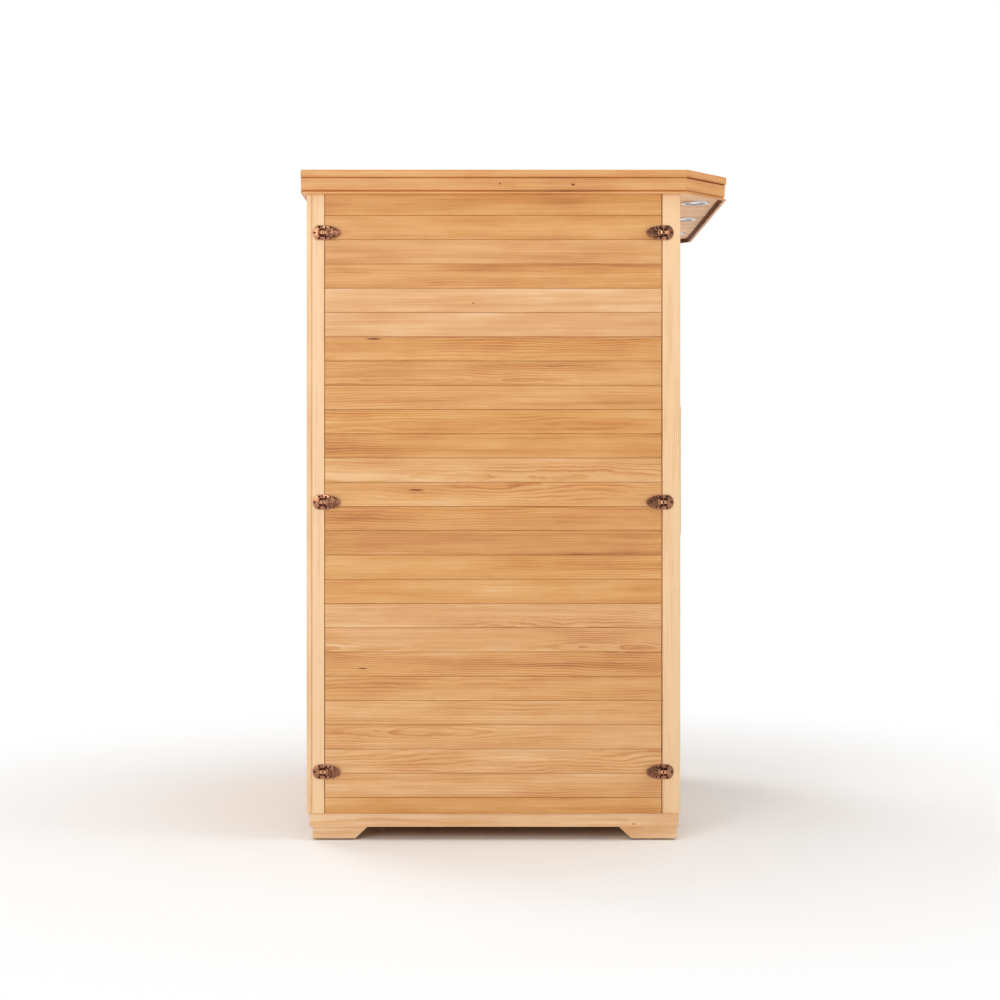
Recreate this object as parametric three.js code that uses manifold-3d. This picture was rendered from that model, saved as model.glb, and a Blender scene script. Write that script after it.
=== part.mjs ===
// Free-standing two-person infrared sauna cabin, in millimetres, +Z up.
// The front (glass door, visor) faces -Y, the width runs along X.
// Origin: on the floor, at the middle of the whole outline.

import * as THREE from "three";
import { mergeVertices } from "three/addons/utils/BufferGeometryUtils.js";
import Module from "manifold-3d";

const wasm = await Module();
wasm.setup();

// ---------------------------------------------------------------- dimensions
const WIDTH = 1200;            // outside of one side wall to outside of the other
const DEPTH = 1060;            // front wall face to rear wall face
const HEIGHT = 1900;           // floor to the top of the cornice
const SIDE_OVERHANG = 20;      // cornice beyond the side walls
const REAR_OVERHANG = 15;      // cornice beyond the rear wall
const VISOR_OVERHANG = 145;    // visor beyond the front wall
const VISOR_FORWARD = 127;     // visor chamfer, front to back
const VISOR_INWARD = 140;      // visor chamfer, side to side

const GLIDE_H = 4;             // plastic glide under each foot
const GLIDE_R = 10;
const FOOT_TOP = 38.5;
const PLINTH_TOP = 77;         // top of the floor panel
const WALL_TOP = 1837;         // walls carry the roof panel here
const ROOF_T = 30;             // roof panel thickness
const LIP_BOTTOM = 1833;       // cornice: lower lip, fascia, top strip
const LIP_TOP = 1840;
const SOFFIT = 1846;           // underside of the visor, recessed behind the lip
const STRIP_BOTTOM = 1879;
const FASCIA_STEP = 4;         // fascia stands back from the strip and the lip
const CORNICE_T = 20;

const SIDE_WALL_T = 40;
const REAR_WALL_T = 50;
const FRONT_WALL_T = 52;
const SEAM = 2;                // gap between side wall and the corner posts
const POST_W = 80;             // front corner post, seen from the front
const HEADER_H = 97;
const SILL_H = 60;

const GLASS_T = 8;
const GLASS_BED = 8;           // side light sits this deep in its grooves
const GLASS_SLACK = 0.3;
const DOOR_W = 606;
const DOOR_GAP = 6;            // door to header and sill
const SIDELIGHT_EDGE = 306;    // side light edge next to the door

const HINGE_X = 304.5;         // door hinge axis
const HINGE_Y = -452;
const HINGE_Z = [330, 1540];
const KNUCKLE_R = 7;
const HINGE_PIN_R = 3;
const HINGE_BORE_R = 3.4;

const LATCH_Z = [196, 960, 1724];
const PIVOT_U = -8;            // lever pivot: distance from the seam, height off the wall
const PIVOT_W = 6.8;
const LATCH_PIN_R = 1.5;
const LATCH_BORE_R = 2.05;

const BENCH_TOP = 517;
const BENCH_FRONT_Y = 65;
const HEATER_T = 25;

const LAMP_X = 350;            // visor downlights: pitch across, distance from the front wall
const LAMP_OUT = 68;
const LAMP_R = 42.5;
const LAMP_HOLE_R = 35;

// ---------------------------------------------------------------- derived
const X = WIDTH / 2;
const DEPTH_ALL = VISOR_OVERHANG + DEPTH + REAR_OVERHANG;
const Y_VISOR = -DEPTH_ALL / 2;
const Y_FRONT = Y_VISOR + VISOR_OVERHANG;
const Y_REAR = Y_FRONT + DEPTH;
const Y_BACK = Y_REAR + REAR_OVERHANG;
const X_ROOF = X + SIDE_OVERHANG;
const Y_FIN = Y_FRONT + FRONT_WALL_T;      // inner face of the front frame
const Y_RIN = Y_REAR - REAR_WALL_T;        // inner face of the rear wall
const X_IN = X - SIDE_WALL_T;              // inner face of the side walls
const ROOF_TOP = WALL_TOP + ROOF_T;
const GLASS_Y0 = -443;
const GLASS_Y1 = GLASS_Y0 + GLASS_T;

// ---------------------------------------------------------------- helpers
const box = (x0, x1, y0, y1, z0, z1) =>
  new THREE.BoxGeometry(x1 - x0, y1 - y0, z1 - z0).translate((x0 + x1) / 2, (y0 + y1) / 2, (z0 + z1) / 2);

// upright prism over a plan outline
const prism = (points, z0, z1) => {
  const shape = new THREE.Shape(points.map(([a, b]) => new THREE.Vector2(a, b)));
  return new THREE.ExtrudeGeometry(shape, { depth: z1 - z0, bevelEnabled: false, curveSegments: 1 }).translate(0, 0, z0);
};

// upright cylinder
const post = (x, y, z0, z1, r, n = 16) =>
  new THREE.CylinderGeometry(r, r, z1 - z0, n).rotateX(Math.PI / 2).translate(x, y, (z0 + z1) / 2);

// cylinder along Y
const rodY = (x, z, y0, y1, r, n = 12) =>
  new THREE.CylinderGeometry(r, r, y1 - y0, n).translate(x, (y0 + y1) / 2, z);

// cylinder along X
const rodX = (y, z, x0, x1, r, n = 12) =>
  new THREE.CylinderGeometry(r, r, x1 - x0, n).rotateZ(Math.PI / 2).translate((x0 + x1) / 2, y, z);

const solid = (geometry) => {
  const g = geometry.clone();
  g.deleteAttribute("normal");
  g.deleteAttribute("uv");
  const m = mergeVertices(g, 1e-4);
  return new wasm.Manifold(new wasm.Mesh({
    numProp: 3,
    vertProperties: new Float32Array(m.attributes.position.array),
    triVerts: new Uint32Array(m.index.array),
  }));
};
const join = (...list) => list.map(solid).reduce((a, b) => a.add(b));
const cut = (body, ...tools) => tools.map(solid).reduce((a, b) => a.subtract(b), body);
const geometryOf = (manifold) => {
  const mesh = manifold.getMesh();
  const g = new THREE.BufferGeometry();
  const stride = mesh.numProp;
  const count = mesh.vertProperties.length / stride;
  const p = new Float32Array(count * 3);
  for (let i = 0; i < count; i++) for (let k = 0; k < 3; k++) p[i * 3 + k] = mesh.vertProperties[i * stride + k];
  g.setAttribute("position", new THREE.BufferAttribute(p, 3));
  g.setIndex(new THREE.BufferAttribute(new Uint32Array(mesh.triVerts), 1));
  g.computeVertexNormals();
  return g;
};

// outline moved inwards, one distance per edge (edge i runs from point i to point i+1, counter-clockwise)
const inset = (points, dist) => {
  const n = points.length;
  const lines = points.map((p, i) => {
    const q = points[(i + 1) % n];
    const l = Math.hypot(q[0] - p[0], q[1] - p[1]);
    const d = [(q[0] - p[0]) / l, (q[1] - p[1]) / l];
    return { p: [p[0] - d[1] * dist[i], p[1] + d[0] * dist[i]], d };
  });
  return points.map((_, i) => {
    const a = lines[(i + n - 1) % n], b = lines[i];
    const det = a.d[0] * b.d[1] - a.d[1] * b.d[0];
    const t = ((b.p[0] - a.p[0]) * b.d[1] - (b.p[1] - a.p[1]) * b.d[0]) / det;
    return [a.p[0] + a.d[0] * t, a.p[1] + a.d[1] * t];
  });
};

const finish = (color, roughness, metalness = 0, extra = {}) =>
  new THREE.MeshStandardMaterial({ color, roughness, metalness, ...extra });
const wood = () => finish(0xdcae76, 0.55);
const paleWood = () => finish(0xe8c79a, 0.55);
const innerWood = () => finish(0xd9b07c, 0.6);
const glass = () => finish(0xcfe0dc, 0.05, 0, { transparent: true, opacity: 0.35 });
const chrome = () => finish(0xd8d8d8, 0.15, 1);
const copper = () => finish(0x7a4a34, 0.4, 1);
const dark = () => finish(0x1b1b1d, 0.5);
const white = () => finish(0xe8e8e6, 0.5);

const cabin = new THREE.Group();
const group = (parent = cabin) => { const g = new THREE.Group(); parent.add(g); return g; };
const add = (parent, name, shape, material) => {
  const g = shape.isBufferGeometry ? shape : geometryOf(shape);
  const mesh = new THREE.Mesh(g, material);
  mesh.name = name;
  parent.add(mesh);
  return mesh;
};

// ---------------------------------------------------------------- base
const base = group();
add(base, "floor_panel", box(-X + 6, X - 6, Y_FRONT + 4, Y_REAR - 7, FOOT_TOP, PLINTH_TOP), paleWood());

// foot: 45 degree ramps on its two inner ends, a glide under the middle
const foot = (sx, front) => {
  const yo = front ? Y_FRONT + 9 : Y_REAR - 15.5;
  const s = front ? 1 : -1;
  const len = front ? [129, 166] : [121, 158];
  const xo = sx * (X - 12);
  const side = new THREE.Shape([
    new THREE.Vector2(yo, GLIDE_H), new THREE.Vector2(yo + s * len[0], GLIDE_H),
    new THREE.Vector2(yo + s * len[1], FOOT_TOP), new THREE.Vector2(yo, FOOT_TOP)]);
  const face = new THREE.Shape([
    new THREE.Vector2(xo, GLIDE_H), new THREE.Vector2(xo - sx * 125, GLIDE_H),
    new THREE.Vector2(xo - sx * 160, FOOT_TOP), new THREE.Vector2(xo, FOOT_TOP)]);
  const opt = { depth: 400, bevelEnabled: false };
  // side outline runs along X, face outline runs along Y
  const a = new THREE.ExtrudeGeometry(side, opt).applyMatrix4(new THREE.Matrix4().set(
    0, 0, 1, xo - 200, 1, 0, 0, 0, 0, 1, 0, 0, 0, 0, 0, 1));
  const b = new THREE.ExtrudeGeometry(face, opt).applyMatrix4(new THREE.Matrix4().set(
    1, 0, 0, 0, 0, 0, -1, yo + 200, 0, 1, 0, 0, 0, 0, 0, 1));
  const gx = xo - sx * 62, gy = yo + s * 64;
  return solid(a).intersect(solid(b)).add(solid(post(gx, gy, 0, GLIDE_H + 1, GLIDE_R, 16)));
};
add(base, "foot_front_left", foot(-1, true), paleWood());
add(base, "foot_front_right", foot(1, true), paleWood());
add(base, "foot_rear_left", foot(-1, false), paleWood());
add(base, "foot_rear_right", foot(1, false), paleWood());

// ---------------------------------------------------------------- walls
const walls = group();
add(walls, "rear_wall", box(-X, X, Y_RIN, Y_REAR, PLINTH_TOP, WALL_TOP), wood());
add(walls, "left_wall", box(-X, -X_IN, Y_FIN + SEAM, Y_RIN - SEAM, PLINTH_TOP, WALL_TOP), wood());
add(walls, "right_wall", box(X_IN, X, Y_FIN + SEAM, Y_RIN - SEAM, PLINTH_TOP, WALL_TOP), wood());

// ---------------------------------------------------------------- front frame with its fixed glass
const front = group();
const openX = X - POST_W;                       // clear opening between the posts
const sillTop = PLINTH_TOP + SILL_H;
const headBottom = WALL_TOP - HEADER_H;
const g0 = GLASS_Y0 - GLASS_SLACK, g1 = GLASS_Y1 + GLASS_SLACK;
const bedX = openX + GLASS_BED + GLASS_SLACK;
const bedZ0 = sillTop - GLASS_BED - GLASS_SLACK, bedZ1 = headBottom + GLASS_BED + GLASS_SLACK;
for (const s of [-1, 1]) {
  const side = s < 0 ? "left" : "right";
  const xs = [s * openX, s * X].sort((a, b) => a - b);
  const bx = [s * (openX - 1), s * bedX].sort((a, b) => a - b);
  add(front, `front_${side}_post`, cut(solid(box(xs[0], xs[1], Y_FRONT, Y_FIN, PLINTH_TOP, WALL_TOP)),
    box(bx[0], bx[1], g0, g1, bedZ0, bedZ1)), paleWood());
}
const railGroove = (z0, z1) => [-1, 1].map((s) => {
  const e = [s * (SIDELIGHT_EDGE - GLASS_SLACK), s * (openX + 1)].sort((a, b) => a - b);
  return box(e[0], e[1], g0, g1, z0, z1);
});
add(front, "front_header", cut(solid(box(-openX, openX, Y_FRONT, Y_FIN, headBottom, WALL_TOP)),
  ...railGroove(headBottom - 1, bedZ1)), paleWood());
add(front, "front_sill", cut(solid(box(-openX, openX, Y_FRONT, Y_FIN, PLINTH_TOP, sillTop)),
  ...railGroove(bedZ0, sillTop + 1)), paleWood());

const pane = (x0, x1) => solid(box(x0, x1, GLASS_Y0, GLASS_Y1, sillTop - GLASS_BED, headBottom + GLASS_BED));
add(front, "left_window", pane(-openX - GLASS_BED, -SIDELIGHT_EDGE), glass());
add(front, "right_window", cut(pane(SIDELIGHT_EDGE, openX + GLASS_BED),
  ...HINGE_Z.map((z) => box(SIDELIGHT_EDGE - 1, 326, GLASS_Y0 - 1, GLASS_Y1 + 1, z - 30, z + 30))), glass());

// fixed half of each hinge: clamp plates joined through a notch in the glass, two knuckles
const hingeFixed = (z) => {
  const plates = join(
    box(307, 362, -449.3, GLASS_Y0 - 0.3, z - 45, z + 45),
    box(307, 325.4, GLASS_Y0 - 1, GLASS_Y1 + 1, z - 29.4, z + 29.4),
    box(307, 362, GLASS_Y1 + 0.3, GLASS_Y1 + 6, z - 45, z + 45),
    post(HINGE_X, HINGE_Y, z + 15, z + 45, KNUCKLE_R, 20),
    post(HINGE_X, HINGE_Y, z - 45, z - 15, KNUCKLE_R, 20));
  return cut(plates,
    post(HINGE_X, HINGE_Y, z - 15, z + 15, KNUCKLE_R + 0.8, 20),
    post(HINGE_X, HINGE_Y, z - 46, z + 46, HINGE_BORE_R, 16));
};
add(front, "upper_hinge_fixed", hingeFixed(HINGE_Z[1]), chrome());
add(front, "lower_hinge_fixed", hingeFixed(HINGE_Z[0]), chrome());

// ---------------------------------------------------------------- door
const door = group();
const handleX = -250, handleZ = [930, 1170];
const doorX = DOOR_W / 2;
add(door, "door_glass", cut(
  solid(box(-doorX, doorX, GLASS_Y0, GLASS_Y1, sillTop + DOOR_GAP, headBottom - DOOR_GAP)),
  ...HINGE_Z.map((z) => box(283, doorX + 1, GLASS_Y0 - 1, GLASS_Y1 + 1, z - 30, z + 30)),
  ...handleZ.map((z) => rodY(handleX, z, GLASS_Y0 - 1, GLASS_Y1 + 1, 7, 12))), glass());
add(door, "door_handle", join(
  box(handleX - 13, handleX + 13, GLASS_Y0 - 58, GLASS_Y0 - 32, 850, 1250),
  box(handleX - 13, handleX + 13, GLASS_Y1 + 32, GLASS_Y1 + 58, 850, 1250),
  ...handleZ.map((z) => rodY(handleX, z, GLASS_Y0 - 40, GLASS_Y1 + 40, 6, 12))), wood());
const hingeLeaf = (z) => {
  const plates = cut(join(
    box(247, 302, -449.3, GLASS_Y0 - 0.3, z - 45, z + 45),
    box(283.6, 302, GLASS_Y0 - 1, GLASS_Y1 + 1, z - 29.4, z + 29.4),
    box(247, 302, GLASS_Y1 + 0.3, GLASS_Y1 + 6, z - 45, z + 45)),
    post(HINGE_X, HINGE_Y, z + 14.4, z + 46, KNUCKLE_R + 0.8, 20),
    post(HINGE_X, HINGE_Y, z - 46, z - 14.4, KNUCKLE_R + 0.8, 20));
  return plates
    .add(solid(post(HINGE_X, HINGE_Y, z - 14.4, z + 14.4, KNUCKLE_R, 20)))
    .add(solid(post(HINGE_X, HINGE_Y, z - 45, z + 45, HINGE_PIN_R, 16)));
};
add(door, "upper_hinge_leaf", hingeLeaf(HINGE_Z[1]), chrome());
add(door, "lower_hinge_leaf", hingeLeaf(HINGE_Z[0]), chrome());

// ---------------------------------------------------------------- roof
const roof = group();
const outline = [                                // counter-clockwise from above
  [-VISOR_FRONT(), Y_VISOR], [VISOR_FRONT(), Y_VISOR],
  [X_ROOF, Y_VISOR + VISOR_FORWARD], [X_ROOF, Y_BACK],
  [-X_ROOF, Y_BACK], [-X_ROOF, Y_VISOR + VISOR_FORWARD]];
function VISOR_FRONT() { return X_ROOF - VISOR_INWARD; }
const even = (d) => outline.map(() => d);
// edges: front, right chamfer, right side, rear, left side, left chamfer
const innerEdge = (gap) => inset(outline, [CORNICE_T, CORNICE_T, SIDE_OVERHANG, REAR_OVERHANG, SIDE_OVERHANG, CORNICE_T].map((d) => d - gap));
const fascia = inset(outline, even(FASCIA_STEP));
const crown = solid(prism(fascia, LIP_BOTTOM, HEIGHT))
  .add(solid(prism(outline, STRIP_BOTTOM, HEIGHT)))
  .add(solid(prism(outline, LIP_BOTTOM, LIP_TOP)));
add(roof, "cornice", cut(crown, prism(innerEdge(0.3), LIP_BOTTOM - 1, HEIGHT + 1)), wood());

// roof panel: one panel over the cabin and the visor, with the lamp holes and the shutter's slot
const ventX = [-350, -250], ventY = [205, 385];
const lampY = Y_FRONT - LAMP_OUT;
add(roof, "roof_panel", cut(solid(prism(innerEdge(0), WALL_TOP, ROOF_TOP)),
  box(-X_ROOF, X_ROOF, Y_VISOR, Y_FRONT, WALL_TOP - 1, SOFFIT),
  ...[-LAMP_X, 0, LAMP_X].map((x) => post(x, lampY, WALL_TOP - 1, ROOF_TOP + 1, LAMP_HOLE_R, 20)),
  box(ventX[0], ventX[1], ventY[0], ventY[1], WALL_TOP + 6, WALL_TOP + 16),
  box(ventX[0] + 15, ventX[1] - 15, ventY[0], ventY[1], WALL_TOP - 1, WALL_TOP + 7),
  box(-340, -260, 210, 290, WALL_TOP + 15, ROOF_TOP + 1)), innerWood());
add(roof, "vent_shutter", join(
  box(ventX[0] + 1, ventX[1] - 1, 206, 295, WALL_TOP + 6.5, WALL_TOP + 15.5),
  post(-300, 250, WALL_TOP - 14, WALL_TOP + 8, 10, 16)), innerWood());

// recessed downlights: bezel below the soffit, can through the panel
const lampProfile = [
  [0, SOFFIT - 1.5], [LAMP_R - 9, SOFFIT - 1.5], [LAMP_R - 7, SOFFIT - 3.8], [LAMP_R - 2, SOFFIT - 3.8],
  [LAMP_R, SOFFIT - 0.3], [LAMP_HOLE_R - 2, SOFFIT - 0.3], [LAMP_HOLE_R - 2, SOFFIT + 33], [0, SOFFIT + 33]];
["left", "middle", "right"].forEach((name, i) => {
  const g = new THREE.LatheGeometry(lampProfile.map(([r, z]) => new THREE.Vector2(r, z)), 20).rotateX(Math.PI / 2);
  const lamp = add(roof, `visor_lamp_${name}`, geometryOf(solid(g)), chrome());
  lamp.position.set((i - 1) * LAMP_X, lampY, 0);
});
add(roof, "power_unit", join(
  box(180, 440, 180, 350, ROOF_TOP, ROOF_TOP + 31),
  rodY(250, ROOF_TOP + 15, 349, 372, 9, 12)), dark());

// ---------------------------------------------------------------- inside
const inside = group();
const slats = [];
for (let i = 0; i < 6; i++) slats.push(box(-X_IN, X_IN, 40 + i * 80, 40 + i * 80 + 72, BENCH_TOP - 25, BENCH_TOP));
for (const x of [-430, 0, 430]) slats.push(box(x - 30, x + 30, BENCH_FRONT_Y + 27, 510, BENCH_TOP - 47, BENCH_TOP - 24));
add(inside, "bench_seat", join(...slats), innerWood());
add(inside, "bench_front", box(-X_IN, X_IN, BENCH_FRONT_Y, BENCH_FRONT_Y + 25, PLINTH_TOP, BENCH_TOP - 25), innerWood());

// heater: wooden frame with the emitter panel set back in it; (across, up) are its plan axes
const heater = (w, h) => cut(solid(box(-w / 2, w / 2, 0, HEATER_T, 0, h)),
  box(-w / 2 + 28, w / 2 - 28, -1, 9, 28, h - 28));
const placeHeater = (name, w, h, x, y, z, turn) => {
  const holder = group(inside);
  holder.position.set(x, y, z);
  holder.rotation.z = turn;
  add(holder, name, heater(w, h), dark());
};
const gap = 0.3;
placeHeater("rear_heater_left", 420, 860, -280, Y_RIN - HEATER_T - gap, 560, 0);
placeHeater("rear_heater_right", 420, 860, 280, Y_RIN - HEATER_T - gap, 560, 0);
placeHeater("left_heater", 380, 760, -X_IN + HEATER_T + gap, 300, 560, Math.PI / 2);
placeHeater("right_heater", 380, 760, X_IN - HEATER_T - gap, 300, 560, -Math.PI / 2);
placeHeater("calf_heater", 640, 290, 0, BENCH_FRONT_Y - HEATER_T - gap, 140, 0);

add(inside, "control_panel", box(X_IN - 12, X_IN, -310, -130, 1230, 1370), dark());
add(inside, "ceiling_lamp", geometryOf(solid(new THREE.LatheGeometry(
  [[0, -14], [60, -14], [72, -8], [75, -0.3], [0, -0.3]].map(([r, z]) => new THREE.Vector2(r, WALL_TOP + z)), 24)
  .rotateX(Math.PI / 2))), white());
inside.children[inside.children.length - 1].position.set(0, 60, 0);

// ---------------------------------------------------------------- toggle latches
// local axes: x towards the corner post (0 at the seam), y off the wall, z along the seam
const OFF = 0.3;
const flat = (points, w0, w1) => prism(points, w0, w1).applyMatrix4(new THREE.Matrix4().set(
  1, 0, 0, 0, 0, 0, 1, 0, 0, -1, 0, 0, 0, 0, 0, 1));
const leaf = (pts) => [...pts, ...pts.slice().reverse().map(([u, v]) => [u, -v])];
const latchBase = () => join(
  flat(leaf([[4, 20.5], [-5, 21.5], [-17, 19.5], [-31, 13.5], [-41, 5], [-43, 2]]), OFF, OFF + 2),
  box(PIVOT_U - 4.2, PIVOT_U + 4.2, OFF + 1, PIVOT_W + 3.6, 6.4, 9),
  box(PIVOT_U - 4.2, PIVOT_U + 4.2, OFF + 1, PIVOT_W + 3.6, -9, -6.4),
  post(PIVOT_U, PIVOT_W, -7.5, 7.5, LATCH_PIN_R, 10));
const latchLever = () => cut(join(
  post(PIVOT_U, PIVOT_W, -5.8, 5.8, 3.9, 12),
  box(PIVOT_U - 10, PIVOT_U, PIVOT_W - 2.2, PIVOT_W + 2.8, -5.8, 5.8),
  flat(leaf([[-17, 18.5], [-31, 13], [-41, 5.5], [-44.5, 2]]), PIVOT_W - 2.2, PIVOT_W + 1.6)),
  post(PIVOT_U, PIVOT_W, -7, 7, LATCH_BORE_R, 10));
const latches = group();
const levels = ["bottom", "middle", "top"];
for (const [sx, sideName] of [[-1, "left"], [1, "right"]]) {
  for (const [sy, endName, seamY] of [[-1, "front", Y_FIN + SEAM / 2], [1, "rear", Y_RIN - SEAM / 2]]) {
    LATCH_Z.forEach((z, i) => {
      const holder = group(latches);
      holder.position.set(sx * X, seamY, z);
      holder.quaternion.setFromRotationMatrix(new THREE.Matrix4().makeBasis(
        new THREE.Vector3(0, sy, 0), new THREE.Vector3(sx, 0, 0), new THREE.Vector3(0, 0, -sx * sy)));
      const id = `${sideName}_${endName}_${levels[i]}`;
      add(holder, `latch_base_${id}`, latchBase(), copper());
      add(holder, `latch_lever_${id}`, latchLever(), copper());
    });
  }
}

export default cabin;
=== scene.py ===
import math
import random

import bmesh
import bpy
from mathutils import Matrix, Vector


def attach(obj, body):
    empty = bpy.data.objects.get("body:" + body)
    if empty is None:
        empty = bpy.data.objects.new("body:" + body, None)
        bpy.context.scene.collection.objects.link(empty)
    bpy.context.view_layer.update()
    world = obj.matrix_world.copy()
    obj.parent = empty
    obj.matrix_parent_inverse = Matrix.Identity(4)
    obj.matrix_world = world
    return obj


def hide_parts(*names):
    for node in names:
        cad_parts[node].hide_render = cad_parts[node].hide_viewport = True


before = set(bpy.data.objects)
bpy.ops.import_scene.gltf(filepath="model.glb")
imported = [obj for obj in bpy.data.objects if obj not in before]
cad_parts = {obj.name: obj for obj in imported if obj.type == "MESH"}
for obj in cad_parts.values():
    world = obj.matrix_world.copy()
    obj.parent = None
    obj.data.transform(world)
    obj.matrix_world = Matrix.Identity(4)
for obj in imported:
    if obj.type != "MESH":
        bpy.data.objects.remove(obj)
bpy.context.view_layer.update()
ROOT = "cabin"
S = 0.001                       # the sizes below are in millimetres

# ------------------------------------------------------------------ sizes shared with the frame
X, X_IN = 600.0, 560.0
Y_VISOR, Y_FRONT, Y_FIN, Y_RIN, Y_REAR, Y_BACK = -610.0, -465.0, -413.0, 545.0, 595.0, 610.0
PLINTH_TOP, WALL_TOP, ROOF_TOP, TOP = 77.0, 1837.0, 1867.0, 1900.0
SOFFIT, LAMP_Y = 1846.0, -533.0
GLASS0, GLASS1 = -443.0, -435.0
OUTLINE = [(-480, Y_VISOR), (480, Y_VISOR), (620, -483), (620, Y_BACK), (-620, Y_BACK), (-620, -483)]
BOARD_PITCH, FIRST_JOINT = 68.77, 1773.1
JOINTS = [FIRST_JOINT - BOARD_PITCH * k for k in range(25)]
ROWS = [WALL_TOP] + JOINTS + [PLINTH_TOP]


# ------------------------------------------------------------------ materials
def lin(r, g, b):
    f = lambda c: c / 12.92 if c <= 0.04045 else ((c + 0.055) / 1.055) ** 2.4
    return (f(r / 255), f(g / 255), f(b / 255), 1.0)


class Mat:
    """A material with one Principled shader and short names for the nodes that feed it."""

    def __init__(self, name, **values):
        self.mat = bpy.data.materials.new(name)
        self.mat.use_nodes = True
        self.nt = self.mat.node_tree
        self.nt.nodes.clear()
        out = self.nt.nodes.new("ShaderNodeOutputMaterial")
        self.b = self.nt.nodes.new("ShaderNodeBsdfPrincipled")
        self.nt.links.new(self.b.outputs[0], out.inputs[0])
        for k, v in values.items():
            self.set(k.replace("_", " "), v)

    def set(self, socket, v):
        s = self.b.inputs[socket]
        if isinstance(v, bpy.types.NodeSocket):
            self.nt.links.new(v, s)
        else:
            s.default_value = v

    def feed(self, s, v):
        if isinstance(v, bpy.types.NodeSocket):
            self.nt.links.new(v, s)
        elif v is not None:
            s.default_value = v

    def n(self, kind, **props):
        node = self.nt.nodes.new(kind)
        for k, v in props.items():
            setattr(node, k, v)
        return node

    def math(self, op, a, b=None, c=None, clamp=False):
        node = self.n("ShaderNodeMath", operation=op, use_clamp=clamp)
        for s, v in zip(node.inputs, (a, b, c)):
            self.feed(s, v)
        return node.outputs[0]

    def add(self, a, *rest):
        for r in rest:
            a = self.math("ADD", a, r)
        return a

    def mul(self, a, b):
        return self.math("MULTIPLY", a, b)

    def vec(self, x, y, z):
        node = self.n("ShaderNodeCombineXYZ")
        for s, v in zip(node.inputs, (x, y, z)):
            self.feed(s, v)
        return node.outputs[0]

    def sep(self, v):
        node = self.n("ShaderNodeSeparateXYZ")
        self.feed(node.inputs[0], v)
        return node.outputs[0], node.outputs[1], node.outputs[2]

    def attr(self, name):
        return self.n("ShaderNodeAttribute", attribute_name=name)

    def noise(self, v, scale=1.0, detail=2.0, rough=0.5, warp=0.0):
        node = self.n("ShaderNodeTexNoise")
        self.feed(node.inputs["Vector"], v)
        node.inputs["Scale"].default_value = scale
        node.inputs["Detail"].default_value = detail
        node.inputs["Roughness"].default_value = rough
        node.inputs["Distortion"].default_value = warp
        return node.outputs[0]

    def ramp(self, f, stops):
        node = self.n("ShaderNodeValToRGB")
        e = node.color_ramp.elements
        while len(e) < len(stops):
            e.new(0.5)
        for el, (p, c) in zip(e, stops):
            el.position = p
            el.color = c
        self.feed(node.inputs[0], f)
        return node.outputs[0]

    def mix(self, f, a, b, mode="MIX"):
        node = self.n("ShaderNodeMix", data_type="RGBA", blend_type=mode)
        self.feed(node.inputs[0], f)
        self.feed(node.inputs[6], a)
        self.feed(node.inputs[7], b)
        return node.outputs[2]

    def step(self, v, lo, hi, a=0.0, b=1.0):
        node = self.n("ShaderNodeMapRange", interpolation_type="SMOOTHSTEP")
        self.feed(node.inputs[0], v)
        for s, x in zip(list(node.inputs)[1:5], (lo, hi, a, b)):
            self.feed(s, x)
        return node.outputs[0]

    def bump(self, h, strength=0.2, dist=0.0005):
        node = self.n("ShaderNodeBump")
        node.inputs["Strength"].default_value = strength
        node.inputs["Distance"].default_value = dist
        self.feed(node.inputs["Height"], h)
        self.set("Normal", node.outputs[0])

    def where(self):
        return self.n("ShaderNodeTexCoord").outputs["Object"]


YELLOW = [(0.0, lin(247, 208, 160)), (0.28, lin(230, 176, 114)), (0.50, lin(219, 156, 88)),
          (0.75, lin(198, 127, 62)), (1.0, lin(112, 62, 32))]
PINK = [(0.0, lin(247, 210, 172)), (0.28, lin(231, 179, 130)), (0.50, lin(218, 158, 104)),
        (0.75, lin(194, 128, 80)), (1.0, lin(104, 58, 38))]


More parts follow.
